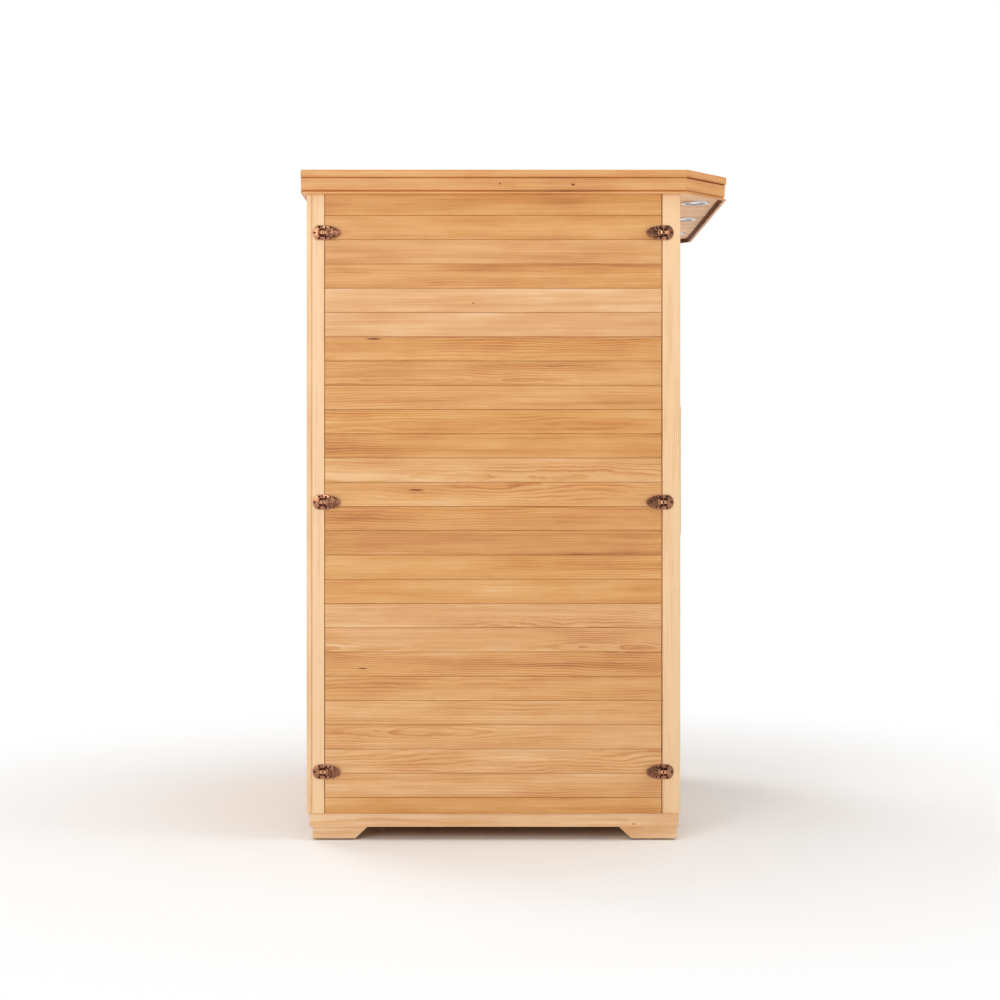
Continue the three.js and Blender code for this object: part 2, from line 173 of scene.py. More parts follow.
def wood(name, rough=0.46, marks=(), figure=1.0, shift=0.0):
    """Planed softwood: annual rings cut from a log (attribute wc: along, across, depth in metres
    from the pith), fibres and streaks along the board; attribute bt holds tone, pinkness, figure.
    marks are small knots and pitch streaks: x, y, z, radius, how many times longer than wide."""
    m = Mat(name)
    l, w, t = m.sep(m.attr("wc").outputs["Vector"])
    tone, pink, fig = m.sep(m.attr("bt").outputs["Vector"])
    fig = m.mul(fig, figure)
    half = lambda v: m.math("SUBTRACT", v, 0.5)
    field = lambda a, b, detail=2.0, rough=0.5: m.noise(m.vec(m.mul(l, a), m.mul(w, b), m.mul(t, b)), 1.0, detail, rough)
    wave = field(2.4, 9.0, 1.5)
    curl = field(12.0, 34.0, 2.0, 0.55)
    sway = m.add(m.mul(half(wave), m.math("MULTIPLY_ADD", fig, 0.026, 0.008)),
                 m.mul(half(curl), m.math("MULTIPLY_ADD", fig, 0.0085, 0.0010)))
    radius = m.add(m.math("SQRT", m.add(m.mul(w, w), m.mul(t, t))), sway)
    spots = []
    if marks:
        px, py, pz = m.sep(m.where())
        for kx, ky, kz, r, long in marks:
            dx = m.math("SUBTRACT", px, kx * S)
            dy = m.mul(m.math("SUBTRACT", py, ky * S), 1.0 / long)
            dz = m.add(m.math("SUBTRACT", pz, kz * S), m.mul(half(curl), r * S * 1.6))
            d = m.math("SQRT", m.add(m.mul(dx, dx), m.mul(dy, dy), m.mul(dz, dz)))
            spots.append(m.step(d, r * S, r * S * 0.3))
            radius = m.add(radius, m.step(d, r * S * 4.0, 0.0, 0.0, r * S * 0.8))
    phase = m.math("FRACT", m.add(m.mul(radius, 165.0), m.mul(wave, 0.8)))
    late = m.mul(m.step(phase, 0.30, 0.86), m.step(phase, 1.0, 0.90))
    clear = field(1.9, 16.0, 2.0)                     # where the rings show, and where they fade out
    late = m.mul(late, m.step(clear, 0.36, 0.62, 0.15, 1.0))
    fibre = field(11.0, 620.0, 3.0, 0.6)
    streak = field(2.6, 110.0, 3.0, 0.6)
    band = field(1.0, 27.0, 2.0, 0.5)
    cloud = field(5.0, 17.0, 3.0, 0.6)
    resin = m.step(field(3.6, 170.0, 2.0, 0.5), 0.66, 0.80)
    dark = m.add(tone, shift,
                 m.mul(half(fibre), 0.22),
                 m.mul(half(streak), 0.52),
                 m.mul(half(band), 0.54),
                 m.mul(half(cloud), 0.50),
                 m.mul(half(late), m.math("MULTIPLY_ADD", fig, 0.23, 0.07)),
                 m.mul(resin, m.math("MULTIPLY_ADD", fig, 0.16, 0.06)))
    for s in spots:
        dark = m.add(dark, m.mul(s, 0.62))
    hue = m.add(pink, m.mul(half(band), 0.7), m.mul(half(cloud), 0.7))
    hue = m.math("MINIMUM", m.math("MAXIMUM", hue, 0.0), 1.0)
    m.set("Base Color", m.mix(hue, m.ramp(dark, YELLOW), m.ramp(dark, PINK)))
    m.set("Roughness", m.add(rough, m.mul(half(fibre), 0.16), m.mul(late, -0.05)))
    m.set("Specular IOR Level", 0.38)
    m.bump(m.add(m.mul(fibre, 0.6), m.mul(late, 0.8), m.mul(streak, 0.3)), 0.16, 0.0004)
    return m.mat


def metal(name, light, deep, rough, grime=0.5, scale=60.0):
    """Plated metal, brighter on its worn edges and deeper in its hollows."""
    m = Mat(name, Metallic=1.0)
    p = m.where()
    edge = m.step(m.n("ShaderNodeNewGeometry").outputs["Pointiness"], 0.47, 0.56)
    cloud = m.noise(p, scale, 4.0, 0.6)
    fine = m.noise(p, scale * 12, 2.0, 0.5)
    f = m.add(m.mul(edge, 0.75), m.mul(m.math("SUBTRACT", cloud, 0.5), grime), m.mul(m.math("SUBTRACT", fine, 0.5), 0.25))
    m.set("Base Color", m.ramp(f, [(0.0, deep), (0.35, [0.5 * (a + b) for a, b in zip(deep, light)]), (0.8, light)]))
    m.set("Roughness", m.add(rough, m.mul(m.math("SUBTRACT", cloud, 0.5), 0.25)))
    m.bump(fine, 0.06, 0.0002)
    return m.mat


def plain(name, a, b, rough, metallic=0.0, scale=400.0, bump=0.08, spread=0.12, **more):
    """Moulded or painted surface with a fine texture and slight changes of tone."""
    m = Mat(name, Metallic=metallic, **more)
    p = m.where()
    cloud = m.noise(p, scale * 0.05, 3.0, 0.5)
    fine = m.noise(p, scale, 2.0, 0.5)
    m.set("Base Color", m.mix(m.step(cloud, 0.3, 0.7), a, b))
    m.set("Roughness", m.add(rough, m.mul(m.math("SUBTRACT", fine, 0.5), spread)))
    m.bump(fine, bump, 0.0002)
    return m.mat


def clear_glass():
    m = Mat("clear_glass", IOR=1.48, Base_Color=(0.93, 0.975, 0.96, 1.0))
    m.set("Transmission Weight", 1.0)
    p = m.where()
    m.set("Roughness", m.step(m.noise(p, 9.0, 3.0, 0.6), 0.35, 0.8, 0.0, 0.025))
    return m.mat


def emitter():
    """Carbon heating film behind a fine woven screen."""
    m = Mat("emitter", Metallic=0.0)
    x, y, z = m.sep(m.where())
    u = m.math("SINE", m.mul(m.add(x, y), 2200.0))
    v = m.math("SINE", m.mul(z, 2200.0))
    weave = m.mul(u, v)
    cloud = m.noise(m.where(), 7.0, 3.0, 0.5)
    m.set("Base Color", m.mix(m.step(weave, -0.6, 0.6), lin(24, 24, 26), m.mix(cloud, lin(44, 43, 44), lin(62, 60, 60))))
    m.set("Roughness", m.step(weave, -1.0, 1.0, 0.72, 0.5))
    m.bump(weave, 0.3, 0.0004)
    return m.mat


def glow(name, colour, strength, base):
    m = Mat(name, Base_Color=base, Emission_Color=colour)
    m.set("Emission Strength", strength)
    m.set("Roughness", m.step(m.noise(m.where(), 300.0, 2.0, 0.5), 0.2, 0.8, 0.35, 0.55))
    return m.mat


WOOD = wood("board_wood", rough=0.42, marks=[(-615.8, 46, 1862, 3.0, 1.4), (-615.6, -160, 1858, 4.0, 2.1), (-600, 284, 995, 3.2, 9.0),
                                 (-600, 405, 1423, 3.4, 8.0), (-600, 436, 489, 2.8, 6.0), (-600, 123, 1524, 2.4, 2.0)])
PALE = wood("pale_wood", rough=0.42, figure=0.8, marks=[(-594, -333, 47, 4.6, 1.3)])
INNER = wood("inner_wood", rough=0.55)
COPPER = metal("antique_copper", lin(186, 132, 103), lin(74, 39, 27), 0.36, 1.1, 140.0)
# dark copper: painted shade, on the recessed plates of the latches and on their screw heads and pins
COPPER_SHADE = metal("copper_painted_shade", lin(72, 38, 29), lin(28, 14, 11), 0.42, 0.6, 140.0)
# dark brown for the strip behind the visor's lip: painted shade
VISOR_SHADE = plain("painted_shade_strip", lin(112, 58, 26), lin(84, 42, 18), 0.6)
# lighter copper: painted highlight, on the keepers' hooks and on the claws
COPPER_LIT = metal("copper_painted_highlight", lin(228, 168, 124), lin(128, 72, 46), 0.30, 0.6, 140.0)
STEEL = metal("hinge_chrome", lin(238, 238, 240), lin(190, 191, 195), 0.14, 0.2, 40.0)
CHROME = metal("lamp_chrome", lin(206, 200, 196), lin(150, 144, 140), 0.16, 0.2, 40.0)
ZINC = metal("zinc_can", lin(150, 150, 147), lin(92, 92, 92), 0.5, 0.6, 60.0)
SCREW = metal("screw_steel", lin(205, 205, 206), lin(120, 120, 122), 0.3, 0.5, 120.0)
GLASS = clear_glass()
EMITTER = emitter()
BLACK = plain("black_case", lin(26, 26, 28), lin(34, 34, 36), 0.52, scale=900.0, bump=0.25)
GLOSS = plain("panel_gloss", lin(8, 8, 10), lin(13, 13, 15), 0.10, scale=200.0, bump=0.01, spread=0.04)
RUBBER = plain("seal", lin(70, 70, 72), lin(84, 84, 86), 0.6, scale=600.0)
GLIDE = plain("glide_plastic", lin(58, 54, 50), lin(72, 66, 60), 0.55, scale=700.0)
FROST = glow("frosted_diffuser", (1.0, 0.90, 0.76, 1.0), 2.2, (0.86, 0.86, 0.84, 1.0))
LENS = glow("lamp_lens", (1.0, 0.95, 0.88, 1.0), 0.25, (0.90, 0.90, 0.88, 1.0))
WHITE = plain("white_enamel", lin(226, 226, 222), lin(234, 234, 230), 0.4, scale=500.0)
DIGIT = glow("display_light", (0.55, 0.86, 1.0, 1.0), 1.6, (0.3, 0.4, 0.45, 1.0))
MARK = plain("panel_print", lin(168, 170, 172), lin(182, 184, 186), 0.4, scale=500.0)


# ------------------------------------------------------------------ mesh building
rng = random.Random(20)


def grain(tone=0.45, pink=0.35, fig=0.4, cut=None, r=rng):
    """A board's place in the log and its look."""
    cut = cut or r.choice(["flat", "rift", "rift", "quarter"])
    if cut == "flat":
        w0, t0 = r.uniform(-40, 40), r.uniform(14, 34)
    elif cut == "rift":
        w0, t0 = r.choice((-1, 1)) * r.uniform(45, 90), r.uniform(30, 80)
    else:
        w0, t0 = r.choice((-1, 1)) * r.uniform(90, 190), r.uniform(5, 30)
    return {"l0": r.uniform(0, 40000), "w0": w0, "t0": t0, "bt": (tone, pink, fig)}


def some(r=rng, tone=(0.34, 0.58), pink=(0.1, 0.6), fig=(0.15, 0.8)):
    return grain(r.uniform(*tone), r.uniform(*pink), r.uniform(*fig), None, r)


PLAIN_GRAIN = {"l0": 0, "w0": 40, "t0": 60, "bt": (0.45, 0.3, 0.3)}


class Build:
    def __init__(self):
        self.v, self.f, self.m, self.wc, self.bt = [], [], [], [], []

    def put(self, verts, faces, mat=0, local=None, g=PLAIN_GRAIN):
        o = len(self.v)
        self.v += [tuple(p) for p in verts]
        self.f += [tuple(i + o for i in q) for q in faces]
        self.m += [mat] * len(faces)
        local = local or verts
        self.wc += [((a + g["l0"]) * S, (b + g["w0"]) * S, (c + g["t0"]) * S) for a, b, c in local]
        self.bt += [g["bt"]] * len(verts)

    def convex(self, verts, faces, mat=0, local=None, g=PLAIN_GRAIN):
        """put, with every face turned outwards"""
        mid = sum((Vector(p) for p in verts), Vector()) / len(verts)
        out = []
        for q in faces:
            a, b, c = (Vector(verts[i]) for i in q[:3])
            n = (b - a).cross(c - a)
            centre = sum((Vector(verts[i]) for i in q), Vector()) / len(q)
            out.append(tuple(q) if n.dot(centre - mid) > 0 else tuple(reversed(q)))
        self.put(verts, out, mat, local, g)


AXES = {"X": Vector((1, 0, 0)), "Y": Vector((0, 1, 0)), "Z": Vector((0, 0, 1))}


def chamfer_box(size, b):
    hx, hy, hz = (s / 2 for s in size)
    b = min(b, hx * 0.9, hy * 0.9, hz * 0.9)
    verts, idx = [], {}
    for sx in (-1, 1):
        for sy in (-1, 1):
            for sz in (-1, 1):
                for k, p in enumerate(((sx * hx, sy * (hy - b), sz * (hz - b)),
                                       (sx * (hx - b), sy * hy, sz * (hz - b)),
                                       (sx * (hx - b), sy * (hy - b), sz * hz))):
                    idx[sx, sy, sz, k] = len(verts)
                    verts.append(p)
    faces = []
    ring = [(-1, -1), (1, -1), (1, 1), (-1, 1)]
    for s in (-1, 1):
        faces.append([idx[s, a, c, 0] for a, c in ring])
        faces.append([idx[a, s, c, 1] for a, c in ring])
        faces.append([idx[a, c, s, 2] for a, c in ring])
    for a in (-1, 1):
        for c in (-1, 1):
            faces.append([idx[-1, a, c, 1], idx[1, a, c, 1], idx[1, a, c, 2], idx[-1, a, c, 2]])
            faces.append([idx[a, -1, c, 0], idx[a, 1, c, 0], idx[a, 1, c, 2], idx[a, -1, c, 2]])
            faces.append([idx[a, c, -1, 0], idx[a, c, 1, 0], idx[a, c, 1, 1], idx[a, c, -1, 1]])
    for a in (-1, 1):
        for c in (-1, 1):
            for e in (-1, 1):
                faces.append([idx[a, c, e, k] for k in range(3)])
    return verts, faces


def bar(B, lo, hi, along="Y", across="Z", b=1.2, mat=0, g=None):
    """An axis-aligned timber or block between two corners, its edges eased by b."""
    lo, hi = Vector(lo), Vector(hi)
    depth = ({"X", "Y", "Z"} - {along, across}).pop()
    size = hi - lo
    pos = {"X": 0, "Y": 1, "Z": 2}
    verts, faces = chamfer_box(size, b)
    mid = (lo + hi) / 2
    world = [Vector(p) + mid for p in verts]
    local = [(p[pos[along]], p[pos[across]], p[pos[depth]]) for p in verts]
    B.convex(world, faces, mat, local, g or PLAIN_GRAIN)


def prism(B, pts, z0, z1, mat=0, g=None, along="Y", swap=None):
    """Upright prism over a convex plan outline; swap maps (a, b, h) to (x, y, z)."""
    swap = swap or (lambda a, b, h: (a, b, h))
    n = len(pts)
    verts = [swap(a, b, z0) for a, b in pts] + [swap(a, b, z1) for a, b in pts]
    faces = [list(range(n)), list(range(n, 2 * n))] + [[i, (i + 1) % n, n + (i + 1) % n, n + i] for i in range(n)]
    pos = {"X": (0, 1, 2), "Y": (1, 0, 2), "Z": (2, 0, 1)}[along]
    B.convex(verts, faces, mat, [tuple(p[k] for k in pos) for p in verts], g or PLAIN_GRAIN)


def lathe(B, profile, centre, axis="Z", n=40, mat=0, mats=None):
    """Closed ring of revolution through (r, h) points; ends on the axis where r is 0."""
    c = Vector(centre)
    other = {"X": ("Y", "Z"), "Y": ("Z", "X"), "Z": ("X", "Y")}[axis]
    A, U, V = AXES[axis], AXES[other[0]], AXES[other[1]]
    rows, verts = [], []
    for k, (r, h) in enumerate(profile):
        if k and k == len(profile) - 1 and (r, h) == tuple(profile[0]):
            rows.append(rows[0])
        elif r < 1e-6:
            rows.append([len(verts)] * n)
            verts.append(c + A * h)
        else:
            rows.append(list(range(len(verts), len(verts) + n)))
            for i in range(n):
                a = 2 * math.pi * i / n
                verts.append(c + A * h + U * (r * math.cos(a)) + V * (r * math.sin(a)))
    for k in range(len(rows) - 1):
        faces = []
        for i in range(n):
            j = (i + 1) % n
            q = [rows[k][i], rows[k][j], rows[k + 1][j], rows[k + 1][i]]
            q = [x for p, x in enumerate(q) if x not in q[:p]]
            if len(q) > 2:
                faces.append(q)
        B.m += [(mats[k] if mats else mat)] * len(faces)
        o = len(B.v)
        B.f += [tuple(x + o for x in q) for q in faces]
    B.v += [tuple(p) for p in verts]
    B.wc += [tuple(p * S) for p in verts]
    B.bt += [PLAIN_GRAIN["bt"]] * len(verts)


def inset(points, dist):
    n = len(points)
    dist = dist if hasattr(dist, "__len__") else [dist] * n
    lines = []
    for i, p in enumerate(points):
        q = points[(i + 1) % n]
        k = math.hypot(q[0] - p[0], q[1] - p[1])
        d = ((q[0] - p[0]) / k, (q[1] - p[1]) / k)
        lines.append(((p[0] - d[1] * dist[i], p[1] + d[0] * dist[i]), d))
    out = []
    for i in range(n):
        (ap, ad), (bp, bd) = lines[i - 1], lines[i]
        det = ad[0] * bd[1] - ad[1] * bd[0]
        t = ((bp[0] - ap[0]) * bd[1] - (bp[1] - ap[1]) * bd[0]) / det
        out.append((ap[0] + ad[0] * t, ap[1] + ad[1] * t))
    return out


def make(name, B, mats, body=ROOT, replaces=(), bevel=None, angle=60, weighted=True):
    me = bpy.data.meshes.new(name)
    me.from_pydata([(x * S, y * S, z * S) for x, y, z in B.v], [], B.f)
    bm = bmesh.new()
    bm.from_mesh(me)
    bmesh.ops.recalc_face_normals(bm, faces=bm.faces[:])
    bm.to_mesh(me)
    bm.free()
    for m in mats:
        me.materials.append(m)
    me.polygons.foreach_set("material_index", B.m)
    a = me.attributes.new("wc", "FLOAT_VECTOR", "POINT")
    a.data.foreach_set("vector", [c for p in B.wc for c in p])
    a = me.attributes.new("bt", "FLOAT_VECTOR", "POINT")
    a.data.foreach_set("vector", [c for p in B.bt for c in p])
    me.polygons.foreach_set("use_smooth", [True] * len(me.polygons))
    me.validate()
    me.set_sharp_from_angle(angle=math.radians(angle))
    ob = bpy.data.objects.new(name, me)
    bpy.context.scene.collection.objects.link(ob)
    if bevel:
        md = ob.modifiers.new("ease", "BEVEL")
        md.width, md.segments, md.limit_method, md.angle_limit = bevel[0] * S, bevel[1], "ANGLE", math.radians(35)
        md.harden_normals = True
    elif weighted:
        md = ob.modifiers.new("even", "WEIGHTED_NORMAL")
        md.keep_sharp = True
    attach(ob, body)
    if replaces:
        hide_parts(*([replaces] if isinstance(replaces, str) else replaces))
    return ob


# ------------------------------------------------------------------ camera
cam = bpy.data.objects.new("camera", bpy.data.cameras.new("camera"))
bpy.context.scene.collection.objects.link(cam)
cam.location = (-5.826, 0.062, 1.040)
cam.rotation_euler = (math.pi / 2, 0.0, -math.pi / 2)
cam.data.sensor_width = 36.0
cam.data.lens = 66.35
cam.data.shift_x, cam.data.shift_y = 0.0054, -0.026
cam.data.clip_end = 200.0
bpy.context.scene.camera = cam


# ------------------------------------------------------------------ light and floor
def soft_light(name, place, target, size, watts, colour=(1.0, 0.985, 0.96)):
    d = bpy.data.lights.new(name, "AREA")
    d.shape, d.size, d.energy, d.color = "SQUARE", size, watts, colour
    o = bpy.data.objects.new(name, d)
    bpy.context.scene.collection.objects.link(o)
    o.location = place
    o.rotation_euler = (Vector(target) - Vector(place)).to_track_quat("-Z", "Y").to_euler()


soft_light("key_light", (-6.4, 2.9, 2.9), (-0.6, 0.2, 1.1), 2.4, 118)
soft_light("front_light", (-1.2, -5.4, 3.6), (0, 0, 1.0), 3.2, 100)
soft_light("back_light", (4.2, 4.0, 4.0), (0, 0, 1.0), 3.6, 140)
soft_light("top_light", (-1.0, 0.0, 5.6), (-0.4, 0, 0), 5.0, 112)

soft_light("inside_light", (0.0, 0.06, 1.815), (0.0, 0.06, 0.0), 0.13, 9.0, (1.0, 0.9, 0.76))

# a white studio: full white behind the object and through its glass, dimmer as a light so that forms keep their shading
world = bpy.data.worlds.new("studio")
world.use_nodes = True
wn = world.node_tree.nodes
back = wn["Background"]
back.inputs[0].default_value = (1.0, 1.0, 1.0, 1.0)
seen = wn.new("ShaderNodeLightPath")
dim = wn.new("ShaderNodeMapRange")
for s_, v_ in zip(list(dim.inputs)[1:5], (0.0, 1.0, 0.40, 1.0)):
    s_.default_value = v_
both = wn.new("ShaderNodeMath")
both.operation = "MAXIMUM"
world.node_tree.links.new(seen.outputs["Is Camera Ray"], both.inputs[0])
world.node_tree.links.new(seen.outputs["Is Transmission Ray"], both.inputs[1])
world.node_tree.links.new(both.outputs[0], dim.inputs[0])
world.node_tree.links.new(dim.outputs[0], back.inputs[1])
bpy.context.scene.world = world
view = bpy.context.scene.view_settings
view.view_transform, view.look, view.exposure, view.gamma = "Standard", "None", 0.0, 1.0

# pale floor that runs out to the studio's white
fm = Mat("studio_floor", Roughness=0.9, Emission_Color=(1.0, 1.0, 1.0, 1.0))
fx, fy, fz = fm.sep(fm.where())
away = fm.step(fm.math("SQRT", fm.add(fm.mul(fx, fx), fm.mul(fy, fy))), 0.8, 2.6)
fm.set("Base Color", fm.mix(away, (0.95, 0.95, 0.95, 1), (0.0, 0.0, 0.0, 1)))
fm.set("Emission Strength", away)
fm.set("Specular IOR Level", 0.0)
fmesh = bpy.data.meshes.new("studio_floor")
fmesh.from_pydata([(-60, -60, -0.0005), (60, -60, -0.0005), (60, 60, -0.0005), (-60, 60, -0.0005)], [], [(0, 1, 2, 3)])
fmesh.materials.append(fm.mat)
floor = bpy.data.objects.new("studio_floor", fmesh)
bpy.context.scene.collection.objects.link(floor)

# ------------------------------------------------------------------ walls of boards
# (tone, pinkness, figure, cut) of the boards of the wall that is seen, from the top down
SEEN = [(0.55, 0.10, 0.30, "quarter"), (0.50, 0.20, 0.30, "quarter"), (0.49, 0.60, 0.25, "quarter"),
        (0.56, 0.35, 0.30, "rift"), (0.40, 0.80, 0.20, "quarter"), (0.33, 0.75, 0.25, "quarter"),
        (0.57, 0.20, 0.80, "rift"), (0.54, 0.30, 0.95, "flat"), (0.50, 0.30, 0.50, "rift"),
        (0.54, 0.00, 0.70, "flat"), (0.57, 0.15, 0.60, "rift"), (0.44, 0.40, 0.95, "flat"),
        (0.51, 0.25, 0.90, "rift"), (0.58, 0.30, 0.50, "rift"), (0.62, 0.45, 0.40, "rift"),
        (0.48, 0.00, 0.50, "rift"), (0.47, 0.00, 0.40, "rift"), (0.46, 0.65, 1.00, "rift"),
        (0.48, 0.60, 1.00, "flat"), (0.54, 0.40, 0.90, "rift"), (0.48, 0.35, 0.50, "rift"),
        (0.42, 0.45, 0.50, "rift"), (0.48, 0.50, 1.00, "flat"), (0.45, 0.50, 1.00, "rift"),
        (0.39, 0.50, 0.40, "rift"), (0.50, 0.05, 0.30, "quarter")]


def side_wall(name, s, looks=None):
    B = Build()
    r = random.Random(name)
    for i in range(26):
        g = grain(*looks[i], r=r) if looks else some(r)
        xs = sorted((s * X, s * (X - 12)))
        bar(B, (xs[0], -411, ROWS[i + 1] + 0.22), (xs[1], 543, ROWS[i] - 0.22), "Y", "Z", 1.3, 0, g)
        xs = sorted((s * (X - 30), s * X_IN))
        bar(B, (xs[0], -411, ROWS[i + 1] + 0.3), (xs[1], 543, ROWS[i] - 0.3), "Y", "Z", 1.3, 1, some(r, (0.28, 0.5)))
    xs = sorted((s * (X - 12.2), s * (X - 29.8)))
    bar(B, (xs[0], -410, 78), (xs[1], 542, 1836), "Z", "Y", 0.5, 1, some(r, (0.5, 0.6)))
    make(name + "_boards", B, [WOOD, INNER], replaces=name)


side_wall("left_wall", -1, SEEN)
side_wall("right_wall", 1)

B = Build()
r = random.Random(5)
for i in range(26):
    bar(B, (-539.5, 583, ROWS[i + 1] + 0.22), (539.5, 595, ROWS[i] - 0.22), "X", "Z", 1.3, 0, some(r))
    bar(B, (-X_IN, 545, ROWS[i + 1] + 0.3), (X_IN, 555, ROWS[i] - 0.3), "X", "Z", 1.3, 1, some(r, (0.28, 0.5)))
bar(B, (-539, 555.2, 78), (539, 582.8, 1836), "Z", "X", 0.5, 1, some(r, (0.5, 0.6)))
for s in (-1, 1):
    xs = sorted((s * X, s * 540))
    bar(B, (xs[0], 545, PLINTH_TOP), (xs[1], 579.7, WALL_TOP), "Z", "Y", 1.0, 2, grain(0.05, 0.35, 0.35, "quarter", r))
    bar(B, (xs[0], 580, PLINTH_TOP), (xs[1], 595, WALL_TOP), "Z", "X", 1.8, 2, grain(0.12, 0.35, 0.3, "rift", r))
make("rear_wall_boards", B, [WOOD, INNER, PALE], replaces="rear_wall")

# fillets in the joints between the side walls and the corner posts
B = Build()
r = random.Random(8)
for s in (-1, 1):
    for y0, y1 in ((Y_FIN + 0.1, -411.1), (543.1, 544.9)):
        xs = sorted((s * (X - 10), s * (X - 1.1)))
        bar(B, (xs[0], y0, PLINTH_TOP + 0.4), (xs[1], y1, WALL_TOP - 0.4), "Z", "X", 0.2, 0, grain(0.9, 0.3, 0.3, "rift", r))
make("joint_fillets", B, [WOOD])

# corner beads over the joints inside
B = Build()
r = random.Random(9)
for s in (-1, 1):
    for y, t in ((545.3, -1), (Y_FIN - 0.3, 1)):
        shape = [(X_IN + 0.3 - a, y + t * b) for a, b in ((0, 0), (16, 0), (16, 1.6), (14.6, 3.2), (3.2, 14.6), (1.6, 16), (0, 16))]
        prism(B, [(s * x, y1) for x, y1 in shape], PLINTH_TOP + 0.3, WALL_TOP - 0.3, 0, grain(0.3, 0.3, 0.3, "quarter", r), "Z")
make("corner_beads", B, [INNER])

# ------------------------------------------------------------------ front frame
for s, side in ((-1, "left"), (1, "right")):
    B = Build()
    xs = sorted((s * X, s * 520))
    r = random.Random(side)
    g = grain(0.06, 0.30, 0.9, "flat", r)
    ys = sorted((s * X, s * 529.4))
    bar(B, (ys[0], Y_FRONT, PLINTH_TOP), (ys[1], Y_FIN, WALL_TOP), "Z", "Y", 3.4, 0, g)
    ys = sorted((s * 529.2, s * 520))
    bar(B, (ys[0], Y_FRONT + 0.6, PLINTH_TOP), (ys[1], -443.4, WALL_TOP), "Z", "Y", 1.6, 0, g)
    bar(B, (ys[0], -434.6, PLINTH_TOP), (ys[1], Y_FIN - 0.4, WALL_TOP), "Z", "Y", 1.6, 0, g)
    make(f"front_{side}_post_timber", B, [PALE], replaces=f"front_{side}_post")

for node, z0, z1, gz in (("front_header", 1740, WALL_TOP, (1749, WALL_TOP - 0.5)), ("front_sill", PLINTH_TOP, 137, (PLINTH_TOP + 0.5, 128))):
    B = Build()
    g = grain(0.10, 0.3, 0.5, "rift", random.Random(node))
    bar(B, (-519.6, Y_FRONT, z0), (519.6, -443.4, z1), "X", "Z", 2.2, 0, g)
    bar(B, (-519.6, -434.6, z0), (519.6, Y_FIN, z1), "X", "Z", 1.6, 0, g)
    bar(B, (-519.6, -444.2, gz[0]), (519.6, -433.8, gz[1]), "X", "Z", 0.2, 0, g)
    zf = (1740, 1750) if node == "front_header" else (127, 137)
    bar(B, (-305, -444.2, zf[0] + 0.1), (305, -433.8, zf[1] - 0.1), "X", "Z", 0.2, 0, g)
    make(node + "_timber", B, [PALE], replaces=node)

# ------------------------------------------------------------------ base
B = Build()
r = random.Random(8)
for s in (-1, 1):
    xs = [s * 594, s * 576]
    prism(B, [(xs[0], -461), (xs[0], 588), (xs[1], 570), (xs[1], -443)], 38.5, PLINTH_TOP - 0.3, 0,
          grain(0.18, 0.55, 0.35, "rift", r), "Y")
for y0, y1 in ((-461, -443), (588, 570)):
    prism(B, [(-593.6, y0), (593.6, y0), (575.6, y1), (-575.6, y1)], 38.5, PLINTH_TOP - 0.3, 0, grain(0.27, 0.55, 0.35, "rift", r), "X")
n = 12
for i in range(n):
    y0, y1 = -442 + i * 1011 / n, -442 + (i + 1) * 1011 / n
    bar(B, (-575, y0 + 0.3, 63), (575, y1 - 0.3, PLINTH_TOP - 0.4), "X", "Y", 1.2, 1, some(r, (0.36, 0.56)))
bar(B, (-575.4, -442.6, 39.5), (575.4, 569.6, 45), "X", "Y", 0.4, 1, grain(0.5, 0.5, 0.6, "flat", r))
make("floor_panel_timber", B, [PALE, INNER], replaces="floor_panel", bevel=(1.2, 2))


def foot(name, sx, front):
    yo = Y_FRONT + 9 if front else Y_REAR - 15.5
    s = 1 if front else -1
    l0, l1 = (129, 166) if front else (121, 158)
    xo = sx * (X - 12)
    lo = [(xo, yo), (xo - sx * 125, yo), (xo - sx * 125, yo + s * l0), (xo, yo + s * l0)]
    hi = [(xo, yo), (xo - sx * 160, yo), (xo - sx * 160, yo + s * l1), (xo, yo + s * l1)]
    verts = [(a, b, 4.0) for a, b in lo] + [(a, b, 38.4) for a, b in hi]
    faces = [[0, 1, 2, 3], [4, 5, 6, 7]] + [[i, (i + 1) % 4, 4 + (i + 1) % 4, 4 + i] for i in range(4)]
    B = Build()
    r = random.Random(name)
    B.convex(verts, faces, 0, [(b, c, a) for a, b, c in verts], grain(0.18, 0.55, 0.4, "rift", r))
    make(name + "_block", B, [PALE], replaces=name, bevel=(1.5, 3))
    B = Build()
    lathe(B, [(0, 0), (8.4, 0), (9.6, 0.5), (10, 1.6), (10, 3.9), (0, 3.9)], (xo - sx * 62, yo + s * 64, 0), n=32)
    make(name + "_glide", B, [GLIDE])


for sx, a in ((-1, "left"), (1, "right")):
    foot("foot_front_" + a, sx, True)
    foot("foot_rear_" + a, sx, False)

# ------------------------------------------------------------------ cornice and visor
# (inwards from the outline, height, how much darker): top strip, quirk, fascia, groove, cove, lip; the darkening in the
# quirk and in the groove above the cove is painted shade, and the strip and its top arris are darker
PROFILE = [(20, 1900, 0), (2.2, 1900, 0.2), (0.9, 1899.6, 0.3), (0.2, 1898.6, 0.22), (0, 1896.4, 0.11), (0, 1882.2, 0.08), (0.3, 1880.6, 0.08),
           (1.4, 1879.6, 0.12), (5.4, 1879.2, 0.28), (6.6, 1878.0, 0.30), (4.6, 1876.4, 0.15), (3.4, 1875.4, 0), (4.8, 1846.0, 0), (5.2, 1844.2, 0.05),
           (6.8, 1842.8, 0.15), (10.0, 1841.6, 0.32), (10.6, 1840.3, 0.34), (8.8, 1839.3, 0.26), (6.0, 1838.8, 0.1), (4.6, 1838.0, 0), (2.6, 1836.6, 0),
           (1.0, 1835.4, 0), (0.2, 1834.6, 0), (0, 1833.9, 0), (0.5, 1833.2, 0), (1.4, 1833, 0), (20, 1833, 0)]
